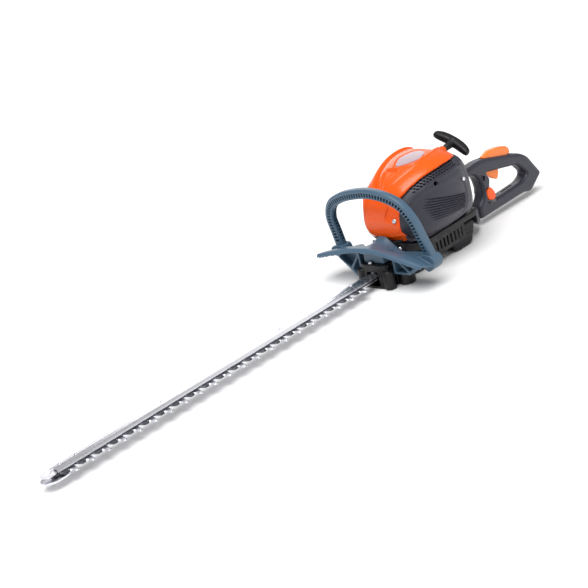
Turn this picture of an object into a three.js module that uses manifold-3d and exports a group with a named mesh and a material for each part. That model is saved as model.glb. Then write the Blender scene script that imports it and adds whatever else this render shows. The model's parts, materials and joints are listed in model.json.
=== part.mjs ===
// A petrol hedge trimmer: a long single-sided cutter bar, a gear case, a two-stroke engine under
// moulded covers, a loop handle with a hand guard in front and a D handle with the controls behind.
// Millimetres, +Z up, the cutter bar along -X, the tool standing on its gear case and fuel tank at z = 0.
import * as THREE from 'three';
import { mergeVertices } from 'three/addons/utils/BufferGeometryUtils.js';
import Module from 'manifold-3d';

const wasm = await Module();
wasm.setup();

// ---- driving dimensions -------------------------------------------------------------------------
const gap = 0.3; // between faces that rest on each other
const runGap = 0.4; // around what turns or slides

// cutter
const toothPitch = 35;
const toothCount = 21;
const bladeStroke = toothPitch / 2;
const camThrow = bladeStroke / 2;
const camRadius = 12;
const firstToothX = -95;
const bladeThickness = 2.7;
const lowerBladeZ = 18.3;
const bladeBackY = 13;
const spineFrontY = -10;
const toothTipY = -28;
const upperToothTipY = -25;
const barSheet = 2.5;
const barRidgeHeight = 6.7;
const boltY = 7.2;
const boltRadius = 2.5;

// gear case and gear train
const caseHeight = 46;
const basePlate = 4;
const caseWall = 3.5;
const gearModule = 2;
const gearTeeth = 32;
const pinionTeeth = 8;
const gearFace = 7;
const eccentricX = 5;
const shaftRadius = 5;

// engine
const bore = 34;
const stroke = 28;
const rodLength = 48;
const crankAboveCase = 48;
const drumRadius = 26;
const flywheelRadius = 32;
const pulleyGrooveRadius = 20;

// covers
const bodyHalfWidth = 95;
const shellHeight = 147.4;
const bodyRear = 210;
const shellWall = 3;
const shellAboveCase = 11.6;
const seamGap = 0.5;
const noseHalfWidth = 46;
const baseHalfWidth = 53;

// handles
const handleHalfWidth = 14.5;
const loopHalfWidth = 114;
const loopTop = 178;
const guardThickness = 3.5;

// ---- values that follow from them -----------------------------------------------------------------
const gearRadius = (gearModule * gearTeeth) / 2;
const pinionRadius = (gearModule * pinionTeeth) / 2;
const addendum = gearModule * 0.85;
const crankX = eccentricX + gearRadius + pinionRadius;
const crankHeight = caseHeight + crankAboveCase;
const shellBottom = caseHeight + shellAboveCase;
const bodyTop = shellBottom + shellHeight;
const lobeRadius = gearRadius + addendum + 2 + caseWall;
const upperBladeZ = lowerBladeZ + bladeThickness + gap;
const barZ = upperBladeZ + bladeThickness + gap;
const gearZ = barZ + 5.7;
const lastToothX = firstToothX - toothPitch * (toothCount - 1);
const tipX = lastToothX - 53;
const yokeHalfLength = camRadius + 2 * camThrow + 0.5;
const yokeHalfWidth = camRadius + camThrow + 0.5;
const yokeWall = 3.5;
const keyX = eccentricX - camThrow - yokeHalfLength - yokeWall - 15;
const loopFootZ = 44;

// ---- materials -------------------------------------------------------------------------------------
const paint = (color, roughness, metalness) => () => new THREE.MeshStandardMaterial({ color, roughness,
  metalness });
const orange = paint(0xff6a1e, 0.25, 0);
const amber = paint(0xff9020, 0.3, 0);
const charcoal = paint(0x46464f, 0.45, 0);
const black = paint(0x1c1c1e, 0.5, 0);
const slate = paint(0x66809a, 0.4, 0);
const steel = paint(0xc8ccd2, 0.3, 1);
const darkSteel = paint(0x5a5e68, 0.35, 1);
const castAluminium = paint(0xa4a6a8, 0.5, 1);
const castBlack = paint(0x202022, 0.5, 0.6);
const rubber = paint(0x151515, 0.8, 0);
const brass = paint(0xb08d4a, 0.4, 1);
const clear = paint(0xe8b0a0, 0.15, 0);
const foam = paint(0x2c2c2c, 0.95, 0);

// ---- solid helpers ---------------------------------------------------------------------------------
// Merges shared vertices, drops collapsed triangles and makes the faces point outwards.
function solid(geometry) {
  geometry.deleteAttribute('normal');
  geometry.deleteAttribute('uv');
  const merged = mergeVertices(geometry, 1e-4);
  const p = merged.attributes.position.array;
  const all = merged.index.array;
  const faces = [];
  let volume = 0;
  for (let i = 0; i < all.length; i += 3) {
    const [a, b, c] = [all[i], all[i + 1], all[i + 2]];
    if (a === b || b === c || a === c) continue;
    faces.push([a, b, c]);
    const [va, vb, vc] = [a, b, c].map((k) => new THREE.Vector3(p[3 * k], p[3 * k + 1], p[3 * k + 2]));
    volume += va.dot(vb.cross(vc));
  }
  const triVerts = new Uint32Array(faces.map((f) => (volume < 0 ? [f[0], f[2], f[1]] : f)).flat());
  return new wasm.Manifold(new wasm.Mesh({ numProp: 3, vertProperties: new Float32Array(p), triVerts }));
}

// A closed outline; corners listed in round are cut by a quadratic curve of that radius.
function outline(points, radius = 0) {
  const shape = new THREE.Shape();
  const v = points.map(([a, b]) => new THREE.Vector2(a, b));
  v.forEach((corner, i) => {
    const before = v[(i + v.length - 1) % v.length];
    const after = v[(i + 1) % v.length];
    const r = Math.min(radius, corner.distanceTo(before) * 0.45, corner.distanceTo(after) * 0.45);
    const enter = corner.clone().lerp(before, r / corner.distanceTo(before));
    const leave = corner.clone().lerp(after, r / corner.distanceTo(after));
    if (i === 0) shape.moveTo(enter.x, enter.y);
    else shape.lineTo(enter.x, enter.y);
    if (r > 0) shape.quadraticCurveTo(corner.x, corner.y, leave.x, leave.y);
  });
  shape.closePath();
  return shape;
}

const extruded = (shape, depth, curveSegments = 2) =>
  new THREE.ExtrudeGeometry(shape, { depth, bevelEnabled: false, curveSegments });

// Outlines drawn in plan (x, y), from the side (x, z) and from the end (y, z).
function plate(points, z0, z1, radius = 0) {
  return solid(extruded(outline(points, radius), z1 - z0).translate(0, 0, z0));
}
function profile(points, y0, y1, radius = 0) {
  return solid(extruded(outline(points, radius), y1 - y0).rotateX(Math.PI / 2).translate(0, y1, 0));
}
function section(points, x0, x1, radius = 0) {
  const turn = new THREE.Matrix4().makeBasis(
    new THREE.Vector3(0, 1, 0), new THREE.Vector3(0, 0, 1), new THREE.Vector3(1, 0, 0));
  return solid(extruded(outline(points, radius), x1 - x0).applyMatrix4(turn).translate(x0, 0, 0));
}
function block(x0, x1, y0, y1, z0, z1) {
  const g = new THREE.BoxGeometry(x1 - x0, y1 - y0, z1 - z0);
  return solid(g.translate((x0 + x1) / 2, (y0 + y1) / 2, (z0 + z1) / 2));
}

const AXES = { x: new THREE.Vector3(1, 0, 0), y: new THREE.Vector3(0, 1, 0), z: new THREE.Vector3(0, 0, 1) };

// A turned piece: pairs of radius and distance along an axis from a point.
function turned(pairs, at, axis = AXES.z, segments = 16) {
  const points = pairs.map(([r, s]) => new THREE.Vector2(r, s));
  const g = new THREE.LatheGeometry(points, segments);
  g.applyQuaternion(new THREE.Quaternion().setFromUnitVectors(AXES.y, axis));
  return solid(g.translate(...at));
}
const rod = (r, s0, s1, at, axis = AXES.z, segments = 16) =>
  turned([[0, s0], [r, s0], [r, s1], [0, s1]], at, axis, segments);
const ring = (r0, r1, s0, s1, at, axis = AXES.z, segments = 16) =>
  turned([[r0, s0], [r1, s0], [r1, s1], [r0, s1], [r0, s0]], at, axis, segments);

// A skin through rings of equal length, closed by a fan at each end.
function loft(rings) {
  const n = rings[0].length;
  const middle = (r) => r.reduce((m, q) => m.map((c, i) => c + q[i] / n), [0, 0, 0]);
  const points = [...rings.flat(), middle(rings[0]), middle(rings.at(-1))];
  const first = rings.length * n;
  const index = [];
  for (let k = 0; k < n; k += 1) {
    const next = (k + 1) % n;
    for (let j = 0; j + 1 < rings.length; j += 1) {
      const [a, b, c, d] = [j * n + k, j * n + next, (j + 1) * n + next, (j + 1) * n + k];
      index.push(a, b, c, a, c, d);
    }
    const end = (rings.length - 1) * n;
    index.push(first, next, k, first + 1, end + k, end + next);
  }
  const g = new THREE.BufferGeometry();
  g.setAttribute('position', new THREE.Float32BufferAttribute(points.flat(), 3));
  g.setIndex(index);
  return solid(g);
}

const union = (...pieces) => pieces.reduce((sum, next) => sum.add(next));
const cut = (body, ...tools) => tools.reduce((rest, tool) => rest.subtract(tool), body);
const largest = (shape) => shape.decompose().reduce((a, b) => (a.volume() > b.volume() ? a : b));

const model = new THREE.Group();
function piece(name, shape, material, at = [0, 0, 0]) {
  const { vertProperties, triVerts } = shape.getMesh();
  const g = new THREE.BufferGeometry();
  g.setAttribute('position', new THREE.Float32BufferAttribute(vertProperties, 3));
  g.setIndex(new THREE.BufferAttribute(triVerts, 1));
  g.computeVertexNormals();
  const mesh = new THREE.Mesh(g, material());
  mesh.name = name;
  mesh.position.set(...at);
  model.add(mesh);
}

// ---- cutter ----------------------------------------------------------------------------------------
const noseX = -44;
const barScrewX = noseX + 7;
const boltXs = [-97, -285, -575, lastToothX + 27, lastToothX - 8];

// One blade: a slotted spine with teeth on its -Y side and a keyhole for the yoke at its rear end.
// rest is how far the blade stands from its foremost place, travel which way it goes from there.
function blade(z, rest, travel, toothX, tooth, endX) {
  const points = [[keyX + 9 + rest, bladeBackY], [endX + 10, bladeBackY], [endX, bladeBackY - 8],
    [endX, spineFrontY + 2]];
  for (let k = toothCount - 1; k >= 0; k -= 1) {
    const x = toothX - k * toothPitch;
    points.push([x - tooth.root, spineFrontY], [x - tooth.tip, tooth.y], [x + tooth.tip, tooth.y],
      [x + tooth.root, spineFrontY]);
  }
  points.push([keyX + 9 + rest, spineFrontY]);
  const slots = boltXs.map((x) => {
    const reach = boltRadius + 0.7;
    const from = x - reach + Math.min(0, -travel * bladeStroke);
    const to = x + reach + Math.max(0, -travel * bladeStroke);
    const corners = [[from, boltY - reach], [to, boltY - reach], [to, boltY + reach], [from, boltY + reach]];
    return plate(corners, z - 1, z + bladeThickness + 1, reach * 0.8);
  });
  const key = [keyX + rest, 0];
  const eye = rod(5.5 + gap, z - 1, z + bladeThickness + 1, [...key, 0]);
  const neck = block(key[0], key[0] + 20, -2.5 - gap, 2.5 + gap, z - 1, z + bladeThickness + 1);
  return cut(plate(points, z, z + bladeThickness), ...slots, eye, neck);
}
const upperTooth = { root: 10, tip: 6, y: upperToothTipY };
const lowerTooth = { root: 9, tip: 4, y: toothTipY };
const lowerEndX = lastToothX - 17;
const upperEndX = lowerEndX - bladeStroke;
piece('cutter_blade_upper', blade(upperBladeZ, 0, 1, firstToothX - bladeStroke, upperTooth, upperEndX),
  darkSteel);
piece('cutter_blade_lower', blade(lowerBladeZ, bladeStroke, -1, firstToothX, lowerTooth, lowerEndX), steel);

// Each yoke is a long ring around its cam, with a tab that keys into its blade.
function yoke(z, rest) {
  const middle = eccentricX - camThrow + rest;
  const oval = (a, b, z0, z1) => plate(
    [[middle - a, -b], [middle + a, -b], [middle + a, b], [middle - a, b]], z0, z1, b * 0.9);
  const frame = oval(yokeHalfLength + yokeWall, yokeHalfWidth + yokeWall, z, z + bladeThickness);
  const window = oval(yokeHalfLength, yokeHalfWidth, z - 1, z + bladeThickness + 1);
  const tab = block(keyX + rest, middle - yokeHalfLength - yokeWall / 2, -2.5, 2.5, z, z + bladeThickness);
  return union(cut(frame, window), tab, rod(5.5, z, z + bladeThickness, [keyX + rest, 0, 0]));
}
piece('connecting_yoke_upper', yoke(upperBladeZ, 0), darkSteel);
piece('connecting_yoke_lower', yoke(lowerBladeZ, bladeStroke), darkSteel);

// The bar is folded sheet: a flat flange that takes the bolts and a raised ridge beside it.
const barRearX = eccentricX - gearRadius - addendum - 3;
const flangeTop = barZ + barSheet;
function guideBar() {
  const top = barZ + barRidgeHeight;
  const fold = section([
    [bladeBackY + 1, barZ], [bladeBackY + 1, flangeTop], [2.5, flangeTop], [0.5, top], [-9, top], [-11, barZ],
    [-8.6, barZ], [-7.2, top - barSheet], [-0.9, top - barSheet], [0.9, barZ]], tipX + 26, barRearX);
  const nose = plate([
    [tipX + 27, bladeBackY + 1], [tipX + 8, bladeBackY + 1], [tipX, bladeBackY - 7], [tipX, -5],
    [tipX + 8, -11], [tipX + 27, -11]], barZ, flangeTop, 7);
  const holes = [...boltXs, barScrewX].map((x) => rod(boltRadius + 0.3, barZ - 1, flangeTop + 1,
    [x, boltY, 0], AXES.z, 12));
  return cut(union(fold, nose), ...holes);
}
piece('guide_bar', guideBar(), steel);

// The tip guard runs under the blades and carries the last bolt.
const guardPlateZ = lowerBladeZ - gap;
const tipPlate = 3.4;
piece('tip_guard', cut(
  plate([[tipX + 58, bladeBackY + 1], [tipX + 6, bladeBackY + 1], [tipX - 3, bladeBackY - 8], [tipX - 3, -10],
    [tipX + 10, -20], [tipX + 40, -20], [tipX + 58, -6]], guardPlateZ - tipPlate, guardPlateZ, 8),
  rod(boltRadius + 0.3, 0, 30, [boltXs[4], boltY, 0], AXES.z, 12)), steel);

boltXs.forEach((x, i) => {
  const under = guardPlateZ - (i === 4 ? tipPlate + gap : 0);
  const head = flangeTop + gap;
  const pairs = [[0, under - 4], [3.7, under - 4], [4.4, under - 3], [4.4, under], [boltRadius, under],
    [boltRadius, head], [4.2, head], [4.2, head + 2], [2.6, head + 4], [0, head + 4]];
  piece(`bar_bolt_${i + 1}`, turned(pairs, [x, boltY, 0], AXES.z, 10), steel);
});

// ---- gear case -------------------------------------------------------------------------------------
const noseHalf = 32;
const caseRearRadius = 37;
const caseOutline = (z0, z1) => union(
  plate([[noseX, -noseHalf], [8, -noseHalf], [8, noseHalf], [noseX, noseHalf]], z0, z1, 12),
  rod(lobeRadius, z0, z1, [eccentricX, 0, 0], AXES.z, 32),
  rod(caseRearRadius, z0, z1, [crankX, 0, 0], AXES.z, 24));
const caseTopInside = caseHeight - caseWall - 0.5;
const bearingOuter = 10;
const drumBearingZ = 39;
const yokeReach = yokeHalfLength + yokeWall + camThrow + 0.6;
const yokeSide = yokeHalfWidth + yokeWall + 0.6;
function gearCase() {
  const z0 = basePlate + gap;
  const shell = caseOutline(z0, caseHeight);
  const gearRoom = rod(lobeRadius - caseWall, 0, caseTopInside, [eccentricX, 0, 0], AXES.z, 32);
  const pinionRoom = rod(pinionRadius + addendum + 4, 0, drumBearingZ, [crankX, 0, 0], AXES.z, 24);
  const bladeSlot = block(noseX - 5, 8, spineFrontY - 2, bladeBackY + 3, 0, barZ + barRidgeHeight + 0.6);
  const bearingSeat = rod(bearingOuter + gap, 0, caseHeight + 5, [crankX, 0, 0], AXES.z, 24);
  const yokeRoom = plate([[eccentricX - yokeReach, -yokeSide], [eccentricX + yokeReach, -yokeSide],
    [eccentricX + yokeReach, yokeSide], [eccentricX - yokeReach, yokeSide]], 0, barZ, yokeSide * 0.8);
  const barScrewHole = rod(boltRadius + gap, 0, caseHeight + 5, [barScrewX, boltY, 0], AXES.z, 12);
  return cut(shell, gearRoom, pinionRoom, bladeSlot, bearingSeat, yokeRoom, barScrewHole);
}
piece('gear_case', gearCase(), castBlack);

const gearBearingTop = 11;
piece('gear_case_base', union(caseOutline(0, basePlate), cut(
  rod(bearingOuter + gap + 3, 0, gearBearingTop - 1, [eccentricX, 0, 0], AXES.z, 24),
  rod(bearingOuter + gap, basePlate, 20, [eccentricX, 0, 0], AXES.z, 24))), castBlack);
piece('gear_bearing', ring(shaftRadius + gap, bearingOuter, basePlate + gap, gearBearingTop,
  [eccentricX, 0, 0]), steel);
piece('drum_bearing', ring(shaftRadius + gap, bearingOuter, drumBearingZ + 0.2, caseHeight - 0.3,
  [crankX, 0, 0]), steel);
piece('bar_screw', turned([[0, barZ + 0.2], [boltRadius, barZ + 0.2], [boltRadius, caseHeight + gap],
  [4.5, caseHeight + gap], [4.5, caseHeight + 4], [0, caseHeight + 4]], [barScrewX, boltY, 0], AXES.z, 10),
  steel);

// Spur teeth with straight flanks; width is a share of the pitch at the pitch circle.
function spur(teeth, z0, z1, phase) {
  const pitchRadius = (gearModule * teeth) / 2;
  const points = [];
  for (let k = 0; k < teeth; k += 1) {
    const a = ((k + phase) / teeth) * 2 * Math.PI;
    const step = (2 * Math.PI) / teeth;
    const at = (r, t) => [r * Math.cos(a + t * step), r * Math.sin(a + t * step)];
    const tip = pitchRadius + addendum;
    const root = pitchRadius - 1.15 * gearModule;
    points.push(at(root, -0.27), at(tip, -0.11), at(tip, 0.11), at(root, 0.27));
  }
  return plate(points, z0, z1);
}
// The eccentric gear is turned about its own axis; its two cams stand opposite each other along X.
piece('eccentric_gear', union(
  spur(gearTeeth, gearZ, gearZ + gearFace, 0),
  rod(shaftRadius, basePlate + 1, caseTopInside - 0.5, [0, 0, 0]),
  rod(camRadius, lowerBladeZ - 0.2, upperBladeZ - 0.15, [camThrow, 0, 0], AXES.z, 24),
  rod(camRadius, upperBladeZ - 0.15, upperBladeZ + bladeThickness + 0.2, [-camThrow, 0, 0], AXES.z, 24),
  rod(9, upperBladeZ + bladeThickness, gearZ + 0.5, [0, 0, 0])), darkSteel, [eccentricX, 0, 0]);

const drumZ = caseHeight + 2.5;
const drumWall = 2.5;
const drumTop = drumZ + 16;
piece('clutch_drum', union(
  spur(pinionTeeth, gearZ - 0.5, gearZ + gearFace + 0.7, 0.5),
  rod(shaftRadius, gearZ, drumZ + 1, [0, 0, 0]),
  rod(drumRadius, drumZ, drumZ + 3, [0, 0, 0], AXES.z, 24),
  ring(drumRadius - drumWall, drumRadius, drumZ + 2, drumTop, [0, 0, 0], AXES.z, 24)), darkSteel,
    [crankX, 0, 0]);

// ---- the covers' form -------------------------------------------------------------------------------
// Stations along X: left and right half width and height as shares of the body's own, how far the bottom
// rises, and how square the section is.
const STATIONS = [
  [3, 0.46, 0.42, 0.37, 28.4, 2.7], [11, 0.57, 0.5, 0.57, 20.4, 2.7], [30, 0.74, 0.62, 0.8, 8.4, 2.7],
  [60, 0.9, 0.74, 0.93, 1.4, 2.7], [100, 1, 0.82, 1, 0, 2.7], [140, 0.98, 0.8, 0.985, 0, 2.7],
  [172, 0.85, 0.7, 0.88, 0, 3], [192, 0.64, 0.55, 0.79, 0, 4.2], [202, 0.5, 0.44, 0.7, 0, 4.2],
  [bodyRear, 0.4, 0.36, 0.6, 2.4, 4.2],
].map(([x, left, right, height, rise, squareness]) => [x, left, right, height, shellBottom + rise,
  squareness]);
const bodyBase = shellBottom + 2.4;

// How far the covers' surface stands from the middle plane at a station and height, left or right.
function coverSurface(side, x, z) {
  const i = Math.max(1, STATIONS.findIndex((s) => s[0] >= x));
  const [a, b] = [STATIONS[i - 1], STATIONS[i]];
  const at = a.map((v, k) => THREE.MathUtils.lerp(v, b[k], (x - a[0]) / (b[0] - a[0])));
  const [, left, right, height, bottom, squareness] = at;
  const top = bodyBase + height * (bodyTop - bodyBase);
  const rise = Math.abs(2 * z - bottom - top) / (top - bottom);
  return (side < 0 ? left : right) * bodyHalfWidth * (1 - rise ** squareness) ** (1 / squareness);
}

// How far a box inside the covers may reach to one side.
const coverClearance = 3;
function coverReach(side, { x0, x1, z0, z1 }) {
  const corners = [[x0, z0], [x0, z1], [x1, z0], [x1, z1]];
  return Math.min(...corners.map(([x, z]) => coverSurface(side, x, z))) - shellWall - coverClearance;
}

// ---- engine ----------------------------------------------------------------------------------------
const journal = 5;
const rotorZ = drumZ + 4;
const shoeRadius = drumRadius - drumWall - 1;
piece('clutch_rotor', cut(
  rod(shoeRadius, rotorZ, rotorZ + 10, [0, 0, 0], AXES.z, 24),
  rod(journal + gap, 0, 100, [0, 0, 0]),
  block(9, 12, -shoeRadius, 12, 0, 100),
  block(-12, -9, -12, shoeRadius, 0, 100)), darkSteel, [crankX, 0, 0]);

const flangeZ = drumTop + 2;
const barrelRadius = 27;
const crankcaseTop = crankHeight + 24;
const boreRadius = bore / 2;
const barrelFace = crankX + barrelRadius - 3;
function crankcase() {
  const at = [crankX, 0, 0];
  const outside = union(
    rod(drumRadius + 6, flangeZ, flangeZ + 4, at, AXES.z, 24),
    rod(barrelRadius, flangeZ, crankcaseTop, at, AXES.z, 24),
    block(crankX, barrelFace, -25, 25, crankHeight - 23, crankHeight + 23));
  const room = rod(barrelRadius - 4, crankHeight - 12, crankHeight + 12, at, AXES.z, 24);
  const journals = rod(journal + gap, 0, 200, at);
  const mouth = rod(boreRadius + 0.6, 0, 60, [crankX, 0, crankHeight], AXES.x, 20);
  const faceCut = block(barrelFace, barrelFace + 40, -40, 40, flangeZ - 1, crankcaseTop + 1);
  return cut(outside, room, journals, mouth, faceCut);
}
piece('crankcase', crankcase(), castAluminium);

const crankRadius = stroke / 2;
const webRadius = crankRadius + 6;
const webHalf = 4;
const web = (z0) => cut(rod(webRadius, z0, z0 + 6, [0, 0, 0], AXES.z, 24),
  block(3, 40, -40, -11, z0 - 1, z0 + 7), block(3, 40, 11, 40, z0 - 1, z0 + 7));
const crankTop = crankcaseTop + 13;
piece('crankshaft', union(
  rod(journal, rotorZ + 0.5, crankHeight - webHalf, [0, 0, 0]),
  web(crankHeight - webHalf - 6),
  rod(4, crankHeight - webHalf - 1, crankHeight + webHalf + 1, [crankRadius, 0, 0], AXES.z, 12),
  web(crankHeight + webHalf),
  rod(journal, crankHeight + webHalf, crankTop, [0, 0, 0])), steel, [crankX, 0, 0]);

// The piston rests at mid stroke. Its rod stops short of the crank pin's sweep.
const pinX = crankX + rodLength;
const crown = 12;
const skirt = 12;
const pistonRadius = boreRadius - 0.15;
piece('piston', union(cut(
  rod(pistonRadius, pinX - skirt, pinX + crown, [0, 0, crankHeight], AXES.x, 20),
  rod(pistonRadius - 3.5, pinX - skirt - 1, pinX + crown - 4, [0, 0, crankHeight], AXES.x, 20)),
rod(3.5, -pistonRadius + 2, pistonRadius - 2, [pinX, 0, crankHeight], AXES.y, 12)), castAluminium);
piece('connecting_rod', cut(union(
  rod(7, -3, 3, [pinX, 0, crankHeight], AXES.y, 16),
  block(pinX - crankRadius - 1, pinX - 4, -3, 3, crankHeight - 3, crankHeight + 3)),
rod(3.5 + gap, -5, 5, [pinX, 0, crankHeight], AXES.y, 12)), steel);

const finHalf = 26;
const portFace = 31; // the port blocks' faces, from the middle plane
const barrelX = barrelFace + gap;
const headX = pinX + crankRadius + crown + 1;
const headEndX = headX + 6;
function cylinder() {
  const axis = [0, 0, crankHeight];
  const fins = [];
  for (let x = barrelX + 8; x < headEndX - 2; x += 10) {
    fins.push(block(x, x + 2.4, -finHalf, finHalf, crankHeight - finHalf, crankHeight + finHalf));
  }
  const outside = union(
    rod(boreRadius + 4.5, barrelX, headEndX, axis, AXES.x, 20),
    block(barrelX, barrelX + 4, -25, 25, crankHeight - 23, crankHeight + 23), ...fins,
    block(barrelX + 12, barrelX + 34, -portFace, portFace, crankHeight - 12, crankHeight + 12));
  return cut(outside,
    rod(boreRadius, 0, headX, axis, AXES.x, 20),
    rod(5 + gap, 0, headEndX + 5, axis, AXES.x, 12),
    rod(7, -40, 40, [barrelX + 23, 0, crankHeight], AXES.y, 12));
}
piece('cylinder', cylinder(), castAluminium);
piece('spark_plug', turned([[0, headX + 1], [5, headX + 1], [5, headEndX + gap], [8.5, headEndX + gap],
  [8.5, headEndX + 7], [5.5, headEndX + 7], [5.5, headEndX + 22], [7, headEndX + 24], [7, headEndX + 34],
  [0, headEndX + 34]],
[0, 0, crankHeight], AXES.x, 12), steel);

// Exhaust side -Y, intake side +Y.
const portX = barrelX + 23;
const exhaustRadius = 6;
const exhaustAt = [portX - 10, -58, 0];
const muffler = { x0: portX - 24, x1: portX + 24, z0: crankHeight - 10, z1: crankHeight + 28, wall: 3 };
const mufflerY = -coverReach(-1, muffler);
piece('muffler', cut(
  block(muffler.x0, muffler.x1, mufflerY, -portFace - gap, muffler.z0, muffler.z1),
  block(muffler.x0 + muffler.wall, muffler.x1 - muffler.wall, mufflerY + muffler.wall, -portFace - 4,
    muffler.z0 + muffler.wall, muffler.z1 - muffler.wall),
  rod(7, -40, -30, [portX, 0, crankHeight], AXES.y, 12),
  rod(exhaustRadius, crankHeight - 20, crankHeight, exhaustAt, AXES.z, 12)), darkSteel);
const carbEnd = portFace + gap + 22;
piece('carburettor', cut(union(
  block(portX - 14, portX + 14, portFace + gap, carbEnd, crankHeight - 13, crankHeight + 13),
  rod(11, portFace + gap, carbEnd, [portX, 0, crankHeight - 6], AXES.y, 16)),
rod(6, 20, 80, [portX, 0, crankHeight], AXES.y, 12)), castAluminium);
const filter = { x0: portX - 22, x1: portX + 22, z0: crankHeight - 2, z1: crankHeight + 28 };
piece('air_filter', block(filter.x0, filter.x1, carbEnd + gap, coverReach(1, filter), filter.z0, filter.z1),
  foam);

const flywheelZ = crankcaseTop + 2;
const fanBlades = 12;
function flywheel() {
  const blades = [];
  for (let k = 0; k < fanBlades; k += 1) {
    const turn = (k / fanBlades) * 360;
    blades.push(block(18, flywheelRadius - 0.5, -1, 1, flywheelZ + 4, flywheelZ + 12).rotate([0, 0, turn]));
  }
  return cut(union(
    rod(flywheelRadius, flywheelZ, flywheelZ + 5, [0, 0, 0], AXES.z, 32),
    rod(10, flywheelZ, flywheelZ + 12, [0, 0, 0], AXES.z, 16), ...blades),
  rod(journal + gap, 0, 300, [0, 0, 0]));
}
piece('flywheel', flywheel(), castAluminium, [crankX, 0, 0]);

piece('ignition_coil', union(
  block(crankX - 13, crankX + 13, -flywheelRadius - 15, -flywheelRadius - 1.5, flywheelZ - 4, flywheelZ + 10),
  block(crankX - 7, crankX + 7, -flywheelRadius - 9, -barrelRadius - gap, flywheelZ - 12, flywheelZ - 4)),
    black);

// The fan housing hangs over the flywheel and carries the starter pulley on a post.
const pulleyZ = flywheelZ + 14;
const housingTop = pulleyZ + 13;
const pulleyFlange = pulleyGrooveRadius + 3;
const housingRadius = pulleyFlange + 4;
const ropeOutY = -pulleyGrooveRadius;
function fanHousing() {
  const at = [crankX, 0, 0];
  const cup = union(
    ring(housingRadius - 2.5, housingRadius, pulleyZ - 0.5, housingTop, at, AXES.z, 32),
    rod(housingRadius, housingTop - 3, housingTop, at, AXES.z, 32),
    rod(4, pulleyZ - 0.5, housingTop, at, AXES.z, 16));
  const grille = [];
  for (let k = 0; k < 6; k += 1) {
    grille.push(block(9, 20, -3, 3, housingTop - 10, housingTop + 10).rotate([0, 0, k * 60]).translate(at));
  }
  return cut(cup, ...grille, block(crankX + 4, crankX + 60, ropeOutY - 9, ropeOutY + 8, pulleyZ - 1,
    housingTop + 5));
}
piece('fan_housing', fanHousing(), black);
piece('starter_pulley', turned([[4 + runGap, pulleyZ], [pulleyFlange, pulleyZ], [pulleyFlange, pulleyZ + 1.5],
  [pulleyGrooveRadius - 2, pulleyZ + 2], [pulleyGrooveRadius - 2, pulleyZ + 7], [pulleyFlange, pulleyZ + 7.5],
  [pulleyFlange, pulleyZ + 9], [4 + runGap, pulleyZ + 9], [4 + runGap, pulleyZ]], [0, 0, 0], AXES.z, 24),
black, [crankX, 0, 0]);

// ---- covers ----------------------------------------------------------------------------------------
const BODY_SIDES = 24;
function bodyLoft(inset) {
  const rings = STATIONS.map(([x, left, right, height, bottom, squareness], i) => {
    const z0 = bottom + inset;
    const z1 = bodyBase + height * (bodyTop - bodyBase) - inset;
    const ringPoints = [];
    const shift = i === 0 ? inset : i === STATIONS.length - 1 ? -inset : 0;
    for (let k = 0; k < BODY_SIDES; k += 1) {
      const t = ((k + 0.5) / BODY_SIDES) * 2 * Math.PI;
      const [c, s] = [Math.cos(t), Math.sin(t)];
      const width = (c < 0 ? left : right) * bodyHalfWidth - inset;
      const power = (v) => Math.sign(v) * Math.abs(v) ** (2 / squareness);
      ringPoints.push([x + shift, width * power(c), (z0 + z1) / 2 + ((z1 - z0) / 2) * power(s)]);
    }
    return ringPoints;
  });
  return loft(rings);
}
const bodyOutside = bodyLoft(0);
const bodySkin = cut(bodyOutside, bodyLoft(shellWall), block(12, 205, -36, 36, 40, shellBottom + 21.4));

// The seam between the top cover and the side covers, from the nose up and back to the rear corner.
const seamX = 162;
const SEAM_DROPS = [[158, 23], [150, 21], [121, 19.5], [90, 21.5], [63, 27], [39, 37], [21, 51], [11, 66],
  [4, 82], [-20, 115]];
const seam = (grow) => [[-20, 40], [225, 40], [225, 260], [seamX + grow, 260],
  ...SEAM_DROPS.map(([x, drop]) => [x, bodyTop - drop - grow])];
function sideRegion(side, grow) {
  const reach = bodyHalfWidth + 40;
  const across = (near, far) => (side < 0 ? [-far, -near] : [near, far]);
  const beside = profile(seam(grow), ...across(noseHalfWidth + grow, reach));
  const behind = block(seamX + grow, 225, ...across(grow / 2, reach), 40, 260);
  const below = block(24 + grow, 225, ...across(grow / 2, reach), 40, shellBottom + 10.4 - grow);
  return union(beside, behind, below);
}
// The pull starter's guide stands at the rear of the top, along the pull.
const pullAxis = new THREE.Vector3(Math.cos(0.14), 0, Math.sin(0.14));
const pullAt = [182, -16, bodyTop - 24];
const collarRoom = rod(12.5, -14, 30, pullAt, pullAxis, 20);
const windowLozenge = (grow) => plate([[64 - grow, -8], [86, -34 - grow], [128 + grow, -16],
  [117, 12 + grow]], 150, 260, 9);
const topCover = cut(bodySkin, sideRegion(-1, 0), sideRegion(1, 0), windowLozenge(gap));
piece('top_cover', largest(topCover), orange);
piece('top_window', bodySkin.intersect(windowLozenge(0)), clear);

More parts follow.
